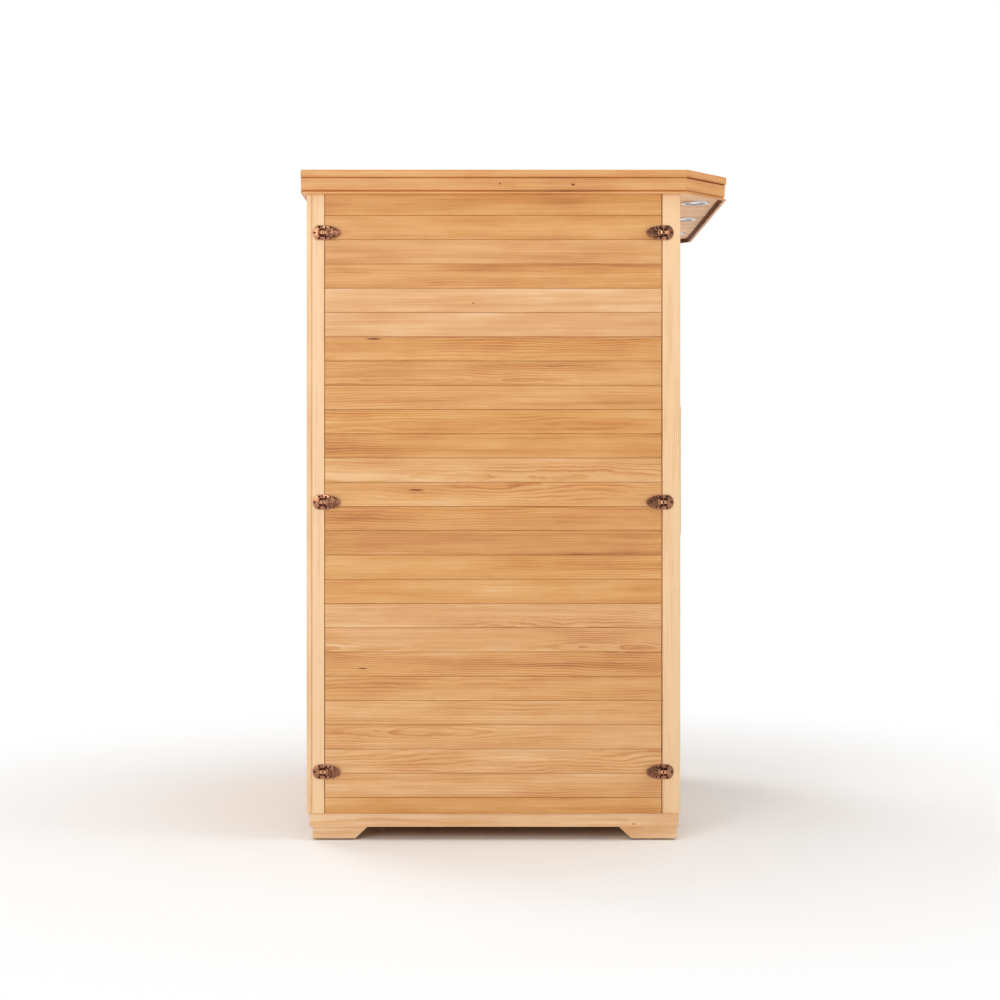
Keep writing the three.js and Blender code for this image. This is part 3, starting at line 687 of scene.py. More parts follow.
VISOR_PROFILE = PROFILE[:-1] + [(7.4, 1833, 0), (8.4, 1833.4, 0), (8.8, 1834.2, 0), (8.8, 1856, 0), (20, 1856, 0)]
depths = [20, 20, 19.7, 14.7, 19.7, 20]


def rear_depth(d, z):
    """the rear length is a flush board with eased edges"""
    if d >= 20:
        return depths[3]
    return d if z > 1896 or z < 1833.5 else 0.25 * min(d, 1.0)


B = Build()
r = random.Random(11)
tones = [(0.42, 0.25, 0.4), (0.5, 0.25, 0.4), (0.42, 0.3, 0.4), (0.42, 0.3, 0.4), (0.44, 0.36, 0.45), (0.56, 0.18, 0.35)]
for i in range(6):
    g = grain(*tones[i], "rift", r)
    verts, local = [], []
    profile = VISOR_PROFILE if i in (0, 1, 5) else PROFILE
    for d, z, _ in profile:
        dd = [min(d, depths[k]) for k in range(6)]
        dd[3] = rear_depth(d, z)
        ring = inset(OUTLINE, dd)
        p, q = Vector((*ring[i], z)), Vector((*ring[(i + 1) % 6], z))
        u = (q - p).normalized()
        p, q = p + u * 0.12, q - u * 0.12
        a = Vector((*OUTLINE[i], z))
        verts += [p, q]
        local += [((p - a).dot(u), z, d), ((q - a).dot(u), z, d)]
    n = len(profile)
    faces = [[2 * k, 2 * ((k + 1) % n), 2 * ((k + 1) % n) + 1, 2 * k + 1] for k in range(n)]
    faces += [[2 * k for k in reversed(range(n))], [2 * k + 1 for k in range(n)]]
    B.put(verts, [list(reversed(q)) for q in faces], 0, [tuple(p) for p in local], g)
    # painted shade: the wood's tone is made darker in the quirk and the groove, and darker along the top strip
    for k, (_, _, shade_and_tone) in enumerate(profile):
        for j in (2 * k, 2 * k + 1):
            a, b_, c = B.bt[len(B.bt) - 2 * n + j]
            B.bt[len(B.bt) - 2 * n + j] = (a + shade_and_tone, b_, c)
make("cornice_moulding", B, [WOOD], replaces="cornice", angle=38, weighted=False)

# cove behind the visor's lip, up to the soffit, in a dark brown that is painted shade
B = Build()
r = random.Random(12)


def ledge(i, d0, d1, d2, z0, z1, mat, g):
    """strip along one edge of the visor: d0 to d1 at the bottom, d0 to d2 at the top"""
    j = (i + 1) % 6
    verts = []
    for d, z in ((d0, z0), (d1, z0), (d2, z1), (d0, z1)):
        ring = inset(OUTLINE, d)
        p, q = Vector((*ring[i], z)), Vector((*ring[j], z))
        if i == 1:
            q = p + (q - p) * 0.86
        if i == 5:
            p = q + (p - q) * 0.86
        u = (q - p).normalized()
        verts += [p + u * 0.15, q - u * 0.15]
    faces = [(0, 1, 3, 2), (2, 3, 5, 4), (4, 5, 7, 6), (6, 7, 1, 0), (0, 2, 4, 6), (7, 5, 3, 1)]
    B.put([tuple(p) for p in verts], faces, mat, [tuple(p) for p in verts], g)


for i in (0, 1, 5):
    ledge(i, 9.0, 9.7, 15.6, 1833.5, SOFFIT - 0.1, 0, grain(0.98, 0.3, 0.4, "rift", r))
make("visor_rebate", B, [VISOR_SHADE], weighted=False, angle=30)

# ------------------------------------------------------------------ roof panel: soffit, ceiling, top sheet
B = Build()
r = random.Random(14)
edge = inset(OUTLINE, [15.2, 15.2, 20, 15, 20, 15.2])


def front_edge(x):
    """front limit of the visor inside its rebate, at x"""
    (x0, y0), (x1, y1) = edge[1], edge[2]
    x = abs(x)
    return y0 if x <= x0 else min(y0 + (x - x0) * (y1 - y0) / (x1 - x0), -466)


knee = edge[1][0]
cuts = sorted({-599, 599, -knee, knee} | {-560 + 80 * k for k in range(15)})
looks = {}
for x0, x1 in zip(cuts, cuts[1:]):
    key = math.floor((x0 + x1 + 1120) / 160)
    g = looks.setdefault(key, some(r, (0.10, 0.26), (0.85, 1.0), (0.1, 0.4)))
    a, b = x0 + (0.35 if x0 in (-599, 599) or (x0 + 560) % 80 == 0 else 0), x1 - (0.35 if x1 in (-599, 599) or (x1 + 560) % 80 == 0 else 0)
    prism(B, [(a, front_edge(a)), (b, front_edge(b)), (b, -465.2), (a, -465.2)], SOFFIT, SOFFIT + 8, 0, g, "Y")


bar(B, (-599, -465.2, WALL_TOP + 0.2), (599, -455, SOFFIT + 8), "X", "Z", 0.6, 0, some(r, (0.2, 0.3)))


def around(x0, x1, y0, y1, hole):
    """the parts of a rectangle outside a rectangular hole"""
    hx0, hx1, hy0, hy1 = hole
    if x1 <= hx0 or x0 >= hx1 or y1 <= hy0 or y0 >= hy1:
        return [(x0, x1, y0, y1)]
    out = []
    if y0 < hy0:
        out.append((x0, x1, y0, hy0))
    if y1 > hy1:
        out.append((x0, x1, hy1, y1))
    if x0 < hx0:
        out.append((x0, hx0, max(y0, hy0), min(y1, hy1)))
    if x1 > hx1:
        out.append((hx1, x1, max(y0, hy0), min(y1, hy1)))
    return out


for i in range(14):
    g = some(r, (0.28, 0.5))
    for x0, x1, y0, y1 in around(-560 + 80 * i + 0.3, -480 + 80 * i - 0.3, Y_FIN, Y_RIN, (-350, -250, 205, 385)):
        bar(B, (x0, y0, WALL_TOP), (x1, y1, WALL_TOP + 10), "Y", "X", 1.2, 0, g)
# runners, ends and back of the vent's slot
for x0, x1 in ((-350, -335), (-265, -250)):
    bar(B, (x0, 205, WALL_TOP), (x1, 385, WALL_TOP + 6), "Y", "X", 0.8, 0, some(r))
for a in ((-350, -250, 197, 205), (-350, -250, 385, 393), (-358, -350, 197, 393), (-250, -242, 197, 393)):
    bar(B, (a[0], a[2], WALL_TOP + 0.5), (a[1], a[3], ROOF_TOP - 6.2), "Y", "X", 0.4, 0, some(r))
for x0, x1, y0, y1 in around(-350, -250, 205, 385, (-340, -260, 210, 290)):
    bar(B, (x0, y0, WALL_TOP + 16), (x1, y1, ROOF_TOP - 6.2), "Y", "X", 0.3, 0, some(r, (0.5, 0.55)))
# top sheets of plywood
rim = inset(OUTLINE, [20, 20, 20, 15, 20, 20])
ply = [grain(0.36, 0.5, 1.0, "flat", r) for _ in range(3)]
prism(B, [rim[0], rim[1], rim[2], (600, -60.4), (-600, -60.4), rim[5]], ROOF_TOP - 6, ROOF_TOP, 1, ply[0], "X")
for k, (x0, x1) in enumerate(((-600, -0.4), (0.4, 600))):
    for a in around(x0, x1, -59.6, 595, (-340, -260, 210, 290)):
        prism(B, [(a[0], a[2]), (a[1], a[2]), (a[1], a[3]), (a[0], a[3])], ROOF_TOP - 6, ROOF_TOP, 1, ply[1 + k], "Y")
bar(B, (-600, -60.2, ROOF_TOP - 16), (600, -59.8, ROOF_TOP - 6.2), "X", "Z", 0.1, 1, ply[0])
make("roof_panel_boards", B, [INNER, INNER], replaces="roof_panel")

# screws that hold the top sheet
B = Build()
for x, y in [(sx * a, b) for sx in (-1, 1) for a, b in ((570, -440), (570, -250), (570, -90), (570, -30), (570, 200), (570, 400), (570, 570), (300, 570), (30, 570), (30, -30), (30, -90), (300, -90), (440, -570), (150, -570))]:
    lathe(B, [(0, 0.15), (1.1, 0.15), (1.3, 0.9), (3.6, 0.9), (3.9, 0.4), (3.9, -0.4), (0, -0.4)], (x, y, ROOF_TOP), n=14)
make("roof_screws", B, [SCREW], angle=40)

B = Build()
bar(B, (-349, 206, WALL_TOP + 6.5), (-251, 295, WALL_TOP + 15.5), "Y", "X", 1.0, 0, grain(0.4, 0.3, 0.6, "flat", r))
make("vent_shutter_plate", B, [INNER], "vent", replaces="vent_shutter")
B = Build()
lathe(B, [(0, -14), (6.5, -14), (9.0, -13), (10, -11), (10, -7), (8.5, -4.5), (5.8, -2.5), (5.0, 0), (5.0, 7), (0, 7)], (-300, 250, WALL_TOP), n=32)
make("vent_knob", B, [INNER], "vent")

# ------------------------------------------------------------------ lamps
for i, a in enumerate(("left", "middle", "right")):
    B = Build()
    prof = [(0, -0.9), (11, -0.7), (15.5, -0.5), (16, -1.5), (17.4, -1.7), (18.4, -0.7), (24, -1.2), (30.5, -2.3), (32.6, -3.3), (34.6, -3.8), (37.5, -3.7), (40.2, -2.9),
            (42, -1.6), (42.5, -0.2), (33, -0.2), (33, 30.5), (32.4, 32), (31, 32.6), (26, 32.6), (25.4, 32.0), (12, 31.4), (11.4, 32.6), (9, 33), (0, 33)]
    mats = [1, 1, 0, 0, 0, 3, 3, 0, 0, 0, 0, 0, 0, 2, 4, 4, 4, 4, 4, 4, 4, 4, 4]
    lathe(B, prof, ((i - 1) * 350, LAMP_Y, SOFFIT), n=48, mats=mats)
    make(f"visor_lamp_{a}_fitting", B, [CHROME, LENS, WHITE, SCREW, ZINC], replaces=f"visor_lamp_{a}", angle=38, weighted=False)

B = Build()
lathe(B, [(0, -14), (30, -13.4), (50, -11.6), (60, -9.4), (63, -8.0), (64, -9.0), (68, -9.6), (72, -8), (74.6, -4), (75, -0.3), (0, -0.3)],
      (0, 60, WALL_TOP), n=56, mats=[1, 1, 1, 1, 0, 0, 0, 0, 0, 0])
make("ceiling_lamp_fitting", B, [CHROME, FROST], replaces="ceiling_lamp", angle=38, weighted=False)

# ------------------------------------------------------------------ power unit on the roof
B = Build()
bar(B, (180, 180, ROOF_TOP + 2), (440, 350, ROOF_TOP + 31), "X", "Y", 2.4, 0)
bar(B, (184, 172, ROOF_TOP), (436, 358, ROOF_TOP + 2.2), "X", "Y", 0.6, 0)
for k in range(9):
    bar(B, (210 + k * 11, 200, ROOF_TOP + 30.6), (215 + k * 11, 262, ROOF_TOP + 31.9), "Y", "X", 0.5, 1)
for k in range(6):
    bar(B, (330 + k * 16, 179.4 - 9, ROOF_TOP + 8), (342 + k * 16, 180.4, ROOF_TOP + 20), "X", "Z", 1.0, 2)
lathe(B, [(0, 372), (4.2, 372), (4.4, 366), (6.6, 371), (8.2, 370), (9, 366), (9, 361), (7.6, 360.6), (7.6, 358.6), (9, 358), (9, 350), (0, 349.5)], (250, 0, ROOF_TOP + 15), "Y", 24, 1)
for x, y in ((192, 176), (428, 176), (192, 354), (428, 354)):
    lathe(B, [(0, 1.7), (1.2, 1.7), (1.4, 2.6), (3.4, 2.6), (3.8, 2.0), (3.8, 1.5), (0, 1.5)], (x, y, ROOF_TOP), n=16, mat=3)
make("power_unit_case", B, [BLACK, RUBBER, WHITE, SCREW], replaces="power_unit", angle=50)

# ------------------------------------------------------------------ glass, door and hinges
def pane(name, lo, hi, notches, body, node):
    """A pane with eased edges, cut back at each hinge notch (side, z)"""
    x0, x1, z0, z1 = lo[0], hi[0], lo[1], hi[1]
    pts = [(x0, z0), (x1, z0)]
    right = sorted(z for s, z in notches if s > 0)
    left = sorted((z for s, z in notches if s < 0), reverse=True)
    for z in right:
        pts += [(x1, z - 30), (x1 - 20, z - 30), (x1 - 20, z + 30), (x1, z + 30)]
    pts += [(x1, z1), (x0, z1)]
    for z in left:
        pts += [(x0, z + 30), (x0 + 20, z + 30), (x0 + 20, z - 30), (x0, z - 30)]
    n = len(pts)
    B = Build()
    rings = []
    for d, y in ((0.9, GLASS0), (0.0, GLASS0 + 0.9), (0.0, GLASS1 - 0.9), (0.9, GLASS1)):
        rings.append([(a, y, c) for a, c in inset(pts, d)])
    verts = [p for q in rings for p in q]
    faces = [tuple(range(n)), tuple(reversed(range(3 * n, 4 * n)))]
    for k in range(3):
        faces += [(k * n + (i + 1) % n, k * n + i, (k + 1) * n + i, (k + 1) * n + (i + 1) % n) for i in range(n)]
    B.put(verts, faces, 0)
    return make(name, B, [GLASS], body, replaces=node, angle=30, weighted=False)


HZ = (330, 1540)
pane("left_window_pane", (-528, 129), (-306, 1748), [], ROOT, "left_window")
pane("right_window_pane", (306, 129), (528, 1748), [(-1, z) for z in HZ], ROOT, "right_window")
pane("door_pane", (-303, 143), (303, 1734), [(1, z) for z in HZ], "door", "door_glass")

# clear sealing strip on the closing edge, and glazing beads round the side lights
B = Build()
bar(B, (-304.6, GLASS0 - 1.4, 145), (-303.2, GLASS1 + 1.4, 1732), "Z", "Y", 0.3, 0)
make("door_edge_seal", B, [RUBBER], "door")
B = Build()
r = random.Random(31)
for s in (-1, 1):
    for y0, y1 in ((GLASS0 - 8.5, GLASS0 - 0.4), (GLASS1 + 0.4, GLASS1 + 8.5)):
        xs = sorted((s * 519.6, s * 511))
        bar(B, (xs[0], y0, 137.2), (xs[1], y1, 1739.8), "Z", "X", 2.0, 0, grain(0.3, 0.3, 0.3, "quarter", r))
        xs = sorted((s * 510.8, s * 309))
        bar(B, (xs[0], y0, 137.2), (xs[1], y1, 145.5), "X", "Z", 2.0, 0, grain(0.3, 0.3, 0.3, "quarter", r))
        bar(B, (xs[0], y0, 1731.5), (xs[1], y1, 1739.8), "X", "Z", 2.0, 0, grain(0.3, 0.3, 0.3, "quarter", r))
make("glazing_beads", B, [PALE])

for z, a in zip(HZ, ("lower", "upper")):
    for leaf in (False, True):
        B = Build()
        s = -1 if leaf else 1
        x0, x1 = sorted((304.5 + s * 9.6, 304.5 + s * 57.5))
        bar(B, (x0, -449.3, z - 45), (x1, GLASS0 - 0.3, z + 45), "Z", "X", 1.4, 0)
        x2, x3 = sorted((304.5 + s * 2.6, 304.5 + s * 57.5))
        bar(B, (x2, GLASS1 + 0.3, z - 45), (x3, GLASS1 + 6, z + 45), "Z", "X", 1.4, 0)
        x4, x5 = sorted((304.5 + s * 2.8, 304.5 + s * 20.6))
        bar(B, (x4, GLASS0 - 0.6, z - 29), (x5, GLASS1 + 0.6, z + 29), "Z", "X", 0.3, 0)
        spans = [(-14.3, 14.3)] if leaf else [(15, 45), (-45, -15)]
        for h0, h1 in spans:
            lathe(B, [(3.3, h0), (6.2, h0), (7, h0 + 0.8), (7, h1 - 0.8), (6.2, h1), (3.3, h1), (3.3, h0)], (304.5, -452, z), n=32)
            x6, x7 = sorted((304.5 + s * 5.6, 304.5 + s * 12))
            bar(B, (x6, -452, z + h0), (x7, -446.2, z + h1), "Z", "X", 0.5, 0)
        if leaf:
            lathe(B, [(0, -45), (2.4, -45), (2.9, -44.5), (2.9, 44.5), (2.4, 45), (0, 45)], (304.5, -452, z), n=24)
        for dz in (-30, 30):
            xc = 304.5 + s * 36
            lathe(B, [(0, -450.2), (2.6, -450.2), (2.6, -451.2), (5.4, -451.2), (6.2, -450.6), (6.2, -449), (0, -449)], (xc, 0, z + dz), "Y", 24)
            lathe(B, [(0, GLASS1 + 7), (2.6, GLASS1 + 7), (2.6, GLASS1 + 8), (5.4, GLASS1 + 8), (6.2, GLASS1 + 7.4), (6.2, GLASS1 + 5.8), (0, GLASS1 + 5.8)], (xc, 0, z + dz), "Y", 24)
        kind = "leaf" if leaf else "fixed"
        make(f"{a}_hinge_{kind}_clamp", B, [STEEL], "door" if leaf else ROOT, replaces=f"{a}_hinge_{kind}", angle=50)

B = Build()
g = grain(0.5, 0.3, 0.6, "rift", random.Random(77))
bar(B, (-263, GLASS0 - 58, 850), (-237, GLASS0 - 32, 1250), "Z", "X", 7.0, 0, g)
bar(B, (-263, GLASS1 + 32, 850), (-237, GLASS1 + 58, 1250), "Z", "X", 7.0, 0, g)
make("door_handle_bars", B, [WOOD], "door", replaces="door_handle", bevel=(2.2, 3))
B = Build()
for z in (930, 1170):
    for s, y in ((-1, GLASS0), (1, GLASS1)):
        lathe(B, [(0, y), (11, y), (11, y + s * 2.0), (10, y + s * 3), (6.6, y + s * 3.4), (6, y + s * 4.6), (6, y + s * 31.6), (0, y + s * 31.6)][::1 if s < 0 else 1], (-250, 0, z), "Y", 32)
make("door_handle_posts", B, [STEEL], "door", angle=40)

# ------------------------------------------------------------------ bench
B = Build()
r = random.Random(40)
for i in range(6):
    bar(B, (-X_IN + 0.5, 40 + i * 80, 492), (X_IN - 0.5, 112 + i * 80, 517), "X", "Y", 4.0, 0, some(r, (0.28, 0.46)))
for x in (-430, 0, 430):
    bar(B, (x - 30, 92, 470), (x + 30, 510, 491.7), "Y", "X", 2.0, 0, some(r))
make("bench_seat_slats", B, [INNER], replaces="bench_seat", bevel=(1.6, 2))
B = Build()
for s in (-1, 1):
    xs = sorted((s * X_IN, s * 536))
    bar(B, (xs[0], 92, 462), (xs[1], 520, 491.5), "Y", "Z", 2.0, 0, some(r))
bar(B, (-535, 521, 462), (535, 544.6, 491.5), "X", "Z", 2.0, 0, some(r))
make("bench_cleats", B, [INNER])
B = Build()
for i in range(6):
    z0, z1 = 77 + i * 415 / 6, 77 + (i + 1) * 415 / 6
    bar(B, (-X_IN + 0.3, 65, z0 + 0.3), (X_IN - 0.3, 78, z1 - 0.3), "X", "Z", 1.4, 0, some(r, (0.3, 0.5)))
for x in (-520, 0, 520):
    bar(B, (x - 25, 78.2, 78), (x + 25, 90, 491), "Z", "X", 1.0, 0, some(r))
make("bench_front_boards", B, [INNER], replaces="bench_front")


# ------------------------------------------------------------------ heaters
def heater(node, w, h, place, across, out):
    """frame, emitter sheet and guard bars; across and out are unit vectors in plan"""
    B = Build()
    r = random.Random(node)
    a, o = Vector(across), Vector(out)
    P = Vector(place)

    def block(u0, u1, d0, d1, z0, z1, b, mat, g, length):
        c = P + a * ((u0 + u1) / 2) + o * ((d0 + d1) / 2) + Vector((0, 0, (z0 + z1) / 2))
        size = (u1 - u0, d1 - d0, z1 - z0)
        verts, faces = chamfer_box(size, b)
        world = [c + a * p[0] + o * p[1] + Vector((0, 0, p[2])) for p in verts]
        local = [(p[0], p[2], p[1]) if length == "u" else (p[2], p[0], p[1]) for p in verts]
        B.convex(world, faces, mat, local, g)

    hw, f = w / 2, 28
    g = [grain(0.42, 0.3, 0.4, "rift", r) for _ in range(4)]
    block(-hw, -hw + f - 0.2, 0, 25, 0, h, 2.2, 0, g[0], "z")
    block(hw - f + 0.2, hw, 0, 25, 0, h, 2.2, 0, g[1], "z")
    block(-hw + f, hw - f, 0, 24.6, 0, f, 2.2, 0, g[2], "u")
    block(-hw + f, hw - f, 0, 24.6, h - f, h, 2.2, 0, g[3], "u")
    block(-hw + f, hw - f, 4, 10, f, h - f, 0.4, 1, PLAIN_GRAIN, "u")
    k = max(2, round((w - 2 * f) / 62)) if h >= w else max(2, round((h - 2 * f) / 48))
    for i in range(1, k):
        gb = grain(0.40, 0.3, 0.3, "quarter", r)
        if h >= w:
            u = -hw + f + i * (w - 2 * f) / k
            block(u - 6, u + 6, 15, 21, f - 2, h - f + 2, 1.6, 0, gb, "z")
        else:
            z = f + i * (h - 2 * f) / k
            block(-hw + f - 2, hw - f + 2, 15, 21, z - 6, z + 6, 1.6, 0, gb, "u")
    make(node + "_unit", B, [INNER, EMITTER], replaces=node)


heater("rear_heater_left", 420, 860, (-280, Y_RIN - 0.3, 560), (-1, 0, 0), (0, -1, 0))
heater("rear_heater_right", 420, 860, (280, Y_RIN - 0.3, 560), (-1, 0, 0), (0, -1, 0))
heater("left_heater", 380, 760, (-X_IN + 0.3, 300, 560), (0, 1, 0), (1, 0, 0))
heater("right_heater", 380, 760, (X_IN - 0.3, 300, 560), (0, 1, 0), (-1, 0, 0))
heater("calf_heater", 640, 290, (0, 64.7, 140), (-1, 0, 0), (0, -1, 0))

# ------------------------------------------------------------------ control panel
B = Build()
bar(B, (548.6, -309, 1231), (560, -131, 1369), "Y", "Z", 3.0, 0)
bar(B, (548.0, -304, 1236), (549.4, -136, 1364), "Y", "Z", 0.5, 1)
SEG = {0: "abcdef", 3: "abcdg", 4: "bcfg", 5: "acdfg"}


def digit(n, y, z, h=22.0):
    """seven-segment figure; y runs towards the rear, which is to the left for someone facing the panel"""
    w, t = h * 0.5, 2.2
    bars = {"a": (0, w, h - t, h), "d": (0, w, 0, t), "g": (0, w, h / 2 - t / 2, h / 2 + t / 2),
            "f": (0, t, h / 2, h), "e": (0, t, 0, h / 2), "b": (w - t, w, h / 2, h), "c": (w - t, w, 0, h / 2)}
    for k in SEG[n]:
        a0, a1, z0, z1 = bars[k]
        bar(B, (547.7, y - a1 + 0.3, z + z0 + 0.3), (548.2, y - a0 - 0.3, z + z1 - 0.3), "Y", "Z", 0.1, 2)


for n, y in ((4, -160), (5, -175)):
    digit(n, y, 1318)
for n, y in ((3, -240), (0, -255)):
    digit(n, y, 1318)
for k in range(4):
    lathe(B, [(7.2, 547.9), (8.2, 547.7), (9.2, 547.9), (9.2, 548.3), (7.2, 548.3), (7.2, 547.9)], (0, -160 - k * 40, 1270), "X", 28, 3)
for y in (-160, -200):
    bar(B, (547.8, y - 3.5, 1269.3), (548.2, y + 3.5, 1270.7), "Y", "Z", 0.1, 3)
bar(B, (547.8, -200.7, 1266.5), (548.2, -199.3, 1273.5), "Z", "Y", 0.1, 3)
lathe(B, [(0, 547.8), (3.0, 547.8), (3.0, 548.2), (0, 548.2)], (0, -240, 1270), "X", 20, 3)
bar(B, (547.8, -280.7, 1268), (548.2, -279.3, 1275), "Z", "Y", 0.1, 3)
make("control_panel_unit", B, [STEEL, GLOSS, DIGIT, MARK], replaces="control_panel", angle=50)


# ------------------------------------------------------------------ toggle latches
# local axes: u towards the corner post (0 is 5 mm past the seam), v along the seam, w off the wall
def latch_parts():
    def plate(B, pts, w0, w1, b, mat=0):
        n = len(pts)
        rings = [(0.0, w0), (0.0, w1 - b), (b * 0.35, w1 - b * 0.3), (b, w1)]
        verts = []
        for d, w in rings:
            verts += [(u, v, w) for u, v in inset(pts, d)]
        faces = [tuple(reversed(range(n))), tuple(range(3 * n, 4 * n))]
        for k in range(3):
            faces += [(k * n + i, k * n + (i + 1) % n, (k + 1) * n + (i + 1) % n, (k + 1) * n + i) for i in range(n)]
        B.put(verts, faces, mat)

    def leaf(pts):                                    # counter-clockwise, closed by its mirror image
        up = [(u, v) for u, v in pts]
        return [(u, -v) for u, v in reversed(up)] + up if up[0][0] < up[-1][0] else up + [(u, -v) for u, v in reversed(up)]

    def screw(B, u, v, w, mat=1, turn=0.6):
        # the head is dark copper: painted shade of its hole
        lathe(B, [(0, w + 1.1), (1.2, w + 1.1), (2.2, w + 0.9), (3.1, w + 0.35), (3.4, w - 0.2), (0, w - 0.2)], (u, v, 0), n=18, mat=mat)
        c, s = math.cos(turn), math.sin(turn)
        for k in (0, 1):
            d, e = (c, s) if k == 0 else (-s, c)
            hl, hw = 1.9, 0.38
            q = [(u + d * a - e * b, v + e * a + d * b) for a, b in ((-hl, -hw), (hl, -hw), (hl, hw), (-hl, hw))]
            # the slot is a black bar: painted shade of the recess
            prism(B, q, w + 0.7, w + 1.16, 2)

    curve = lambda f, a, b, n: [f(a + (b - a) * i / n) for i in range(n + 1)]

    # base plate on the side wall
    base = Build()
    top = [(-1.0, 20.2), (-2.0, 21.0), (-7, 21.5), (-13, 21.4), (-19, 20.3), (-26, 17.9), (-33, 14.6), (-39, 10.8), (-43.5, 7.2), (-46.4, 4.2), (-48, 1.4)]
    plate(base, [(u, -v) for u, v in reversed(top)] + top, 0.3, 2.3, 0.7)
    # dark copper plates round the knuckle: painted shade of the recess
    plate(base, [(-7.8, -12.4), (-1.2, -12.4), (-1.2, 12.4), (-7.8, 12.4)], 2.2, 2.75, 0.2, 1)
    plate(base, [(-19.4, 9.6), (-8.2, 9.6), (-8.2, 12.4), (-17.4, 12.4)], 2.2, 2.75, 0.2, 1)
    plate(base, [(-17.4, -12.4), (-8.2, -12.4), (-8.2, -9.6), (-19.4, -9.6)], 2.2, 2.75, 0.2, 1)
    for s in (-1, 1):
        ear = [(-17.4, 2.0), (-8.6, 2.0), (-8.6, 6.2), (-9.4, 8.6), (-11.2, 10.2), (-13, 10.6), (-14.8, 10.2), (-16.6, 8.6), (-17.4, 6.2)]
        v0, v1 = sorted((s * 6.4, s * 9.0))
        prism(base, ear, v0, v1, 0, swap=lambda a, b, h: (a, h, b))
        lathe(base, [(0, s * 9.0), (2.3, s * 9.0), (2.1, s * 9.9), (1.2, s * 10.4), (0, s * 10.5)], (-13, 0, 6.8), "Y", 18, 1)
        screw(base, -8.5, s * 15.2, 2.3, 1, 0.5 + s)
        screw(base, -21.5, s * 14.0, 2.3, 1, 1.1 + s)
    lathe(base, [(0, -7.5), (1.5, -7.5), (1.5, 7.5), (0, 7.5)], (-13, 0, 6.8), "Y", 14, 1)

    # lever: knuckle, bar, and the leaf that the thumb lifts
    lever = Build()
    lathe(lever, [(2.0, -5.7), (3.5, -5.7), (3.9, -5.2), (3.9, 5.2), (3.5, 5.7), (2.0, 5.7), (2.0, -5.7)], (-13, 0, 6.8), "Y", 24, 0)
    rows = []
    for k in range(25):                                # stations from the knuckle to the tip
        f = k / 24
        u = -15.2 - f * 34.6
        if u > -20.5:
            half = 5.3
        elif u > -24:
            t = (-20.5 - u) / 3.5
            half = 5.3 + 12.6 * (t * t * (3 - 2 * t))
        else:
            t = (-24 - u) / 25.8
            half = 17.9 * math.sqrt(max(0.0, 1 - t ** 1.7)) * (1 - 0.18 * t) + 0.6
        crown = 1.6 if u > -20.5 else 1.6 + 1.5 * min(1, (-20.5 - u) / 8)
        lift = 7.4 + (0 if u > -24 else 1.6 * ((-24 - u) / 25.8) ** 2)
        rows.append((u, half, crown, lift))
    m = 14
    verts, faces = [], []
    for u, half, crown, lift in rows:
        topr = [(u, half * math.cos(math.pi * i / m), lift + crown * (1 - abs(math.cos(math.pi * i / m)) ** 2.2) - 0.2) for i in range(m + 1)]
        botr = [(u, half * math.cos(math.pi * i / m) * 0.97, lift - 1.9 + 0.7 * crown * (1 - abs(math.cos(math.pi * i / m)) ** 2.2)) for i in reversed(range(m + 1))]
        verts += topr + botr
    w = 2 * (m + 1)
    for k in range(len(rows) - 1):
        for i in range(w):
            j = (i + 1) % w
            faces.append((k * w + i, k * w + j, (k + 1) * w + j, (k + 1) * w + i))
    faces.append(tuple(reversed(range(w))))
    faces.append(tuple(range((len(rows) - 1) * w, len(rows) * w)))
    lever.put(verts, faces, 0)

    # claw: strap from the lever's pivot across the seam, over the keeper's hook
    claw = Build()
    line = [(-9.0, 9.6), (-7.6, 11.2), (-5, 11.8), (-1, 11.4), (2.5, 10.4), (5.0, 9.6), (7.2, 8.6), (8.6, 7.0), (8.9, 5.2), (8.4, 3.9)]
    verts, faces = [], []
    for k, (u, h) in enumerate(line):
        a, b = line[max(0, k - 1)], line[min(len(line) - 1, k + 1)]
        t = Vector((b[0] - a[0], b[1] - a[1])).normalized()
        nx, nz = -t[1], t[0]
        half = 4.9 if k < len(line) - 3 else 4.9 - 0.5 * (k - len(line) + 4)
        for v, d in ((half, 0.0), (half - 0.7, 0.75), (-half + 0.7, 0.75), (-half, 0.0), (-half + 0.5, -0.75), (half - 0.5, -0.75)):
            verts.append((u + nx * d, v, h + nz * d))
    for k in range(len(line) - 1):
        for i in range(6):
            j = (i + 1) % 6
            faces.append((k * 6 + i, k * 6 + j, (k + 1) * 6 + j, (k + 1) * 6 + i))
    faces.append(tuple(reversed(range(6))))
    faces.append(tuple(range(6 * (len(line) - 1), 6 * len(line))))
    claw.put(verts, [tuple(reversed(q)) for q in faces], 0)
    slot = []
    for u, h in ((-3.0, 11.6), (-1.0, 11.4), (1.0, 10.83)):   # black strip over the strap where its slot shows dark: painted shade
        slot += [(u, -4.0, h + 0.1), (u, 4.0, h + 0.1), (u, 4.0, h + 0.86), (u, -4.0, h + 0.86)]
    claw.put(slot, [(0, 1, 2, 3), (11, 10, 9, 8)] + [(4 * k + i, 4 * k + 4 + i, 4 * k + 4 + (i + 1) % 4, 4 * k + (i + 1) % 4) for k in (0, 1) for i in range(4)], 1)

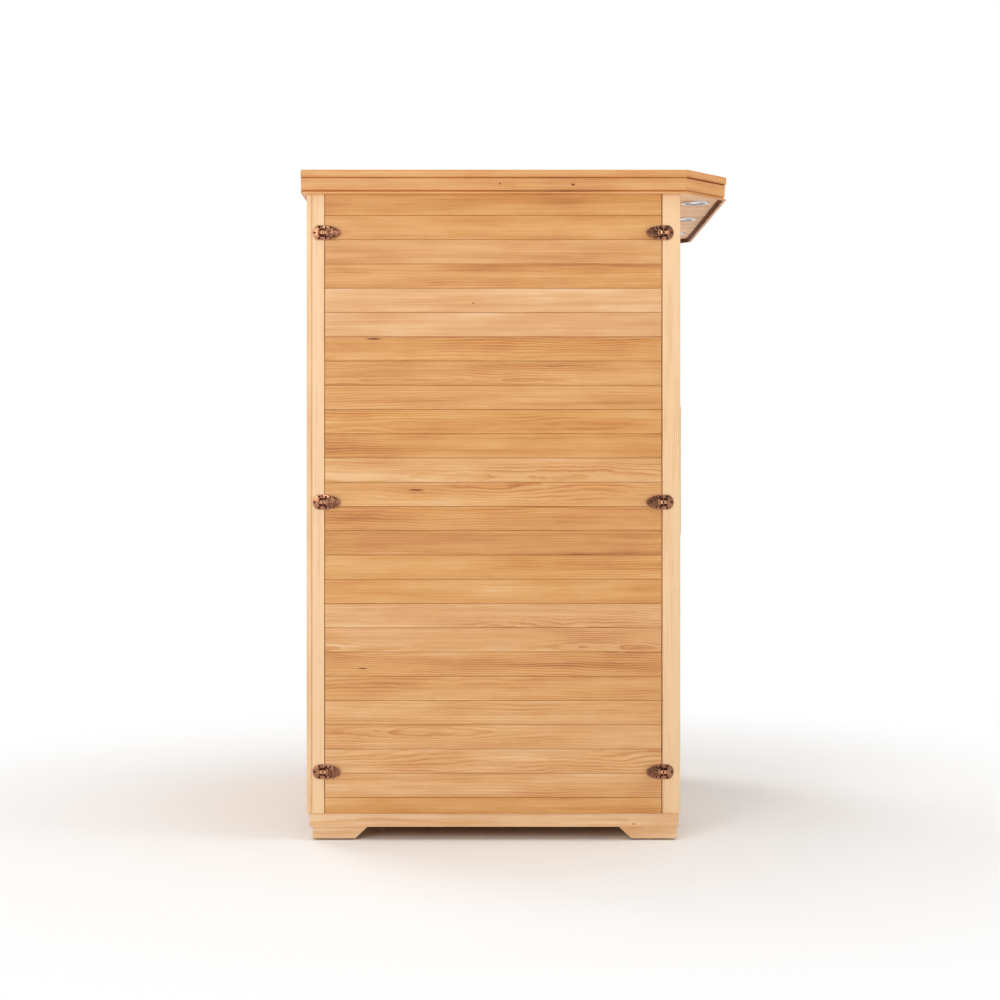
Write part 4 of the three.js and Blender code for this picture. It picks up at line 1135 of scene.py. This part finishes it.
    # keeper on the corner post: half-round plate, turned-up hook, three screws
    keeper = Build()
    arc = curve(lambda a: (9.2 + 19.4 * math.cos(a), 21.4 * math.sin(a)), -math.pi / 2, math.pi / 2, 20)
    plate(keeper, [(-0.2, -20.4), (0.8, -21.2), (3, -21.4)] + arc + [(3, 21.4), (0.8, 21.2), (-0.2, 20.4)], 0.3, 2.3, 0.7)
    hook = [(13.6, 1.8), (13.6, 4.4), (12.6, 6.4), (10.9, 7.2), (10.2, 6.2), (11.0, 5.2), (11.4, 4.0), (11.4, 1.8)]
    # the hook is in the lighter copper: painted highlight
    prism(keeper, hook, -6.2, 6.2, 3, swap=lambda a, b, h: (a, h, b))
    # dark copper plate under the hook: painted shade of the recess
    plate(keeper, [(0.6, -11.6), (9.6, -11.6), (11.0, -9.0), (11.0, 9.0), (9.6, 11.6), (0.6, 11.6)], 2.2, 2.75, 0.2, 1)
    screw(keeper, 10.4, 15.4, 2.3, 1, 0.3)
    screw(keeper, 10.4, -15.4, 2.3, 1, 1.2)
    screw(keeper, 23.4, 0, 2.3, 1, 0.8)
    return base, lever, claw, keeper


parts = latch_parts()
for sx, side in ((-1, "left"), (1, "right")):
    for sy, end, seam in ((-1, "front", -412.0), (1, "rear", 544.0)):
        for level, z in (("bottom", 196), ("middle", 960), ("top", 1724)):
            i = f"{side}_{end}_{level}"
            turn = sx * sy                            # the latch is the same upside down, so every place is a turn
            for kind, src in zip(("base", "lever", "claw", "keeper"), parts):
                C = Build()
                C.v = [(sx * (X + w), seam + sy * (u + 5), z - turn * v) for u, v, w in src.v]
                C.f, C.m, C.wc, C.bt = src.f, src.m, src.wc, src.bt
                node = f"latch_{kind}_{i}"
                # the claws are in the lighter copper throughout: painted highlight
                make(f"{node}_plate" if kind == "base" else f"{node}_tab" if kind == "lever" else node, C,
                     [COPPER, COPPER_SHADE, BLACK, COPPER_LIT] if kind != "claw" else [COPPER_LIT, BLACK],
                     f"lever_{i}" if kind == "lever" else ROOT,
                     replaces=node if kind in ("base", "lever") else (), angle=42, weighted=False)
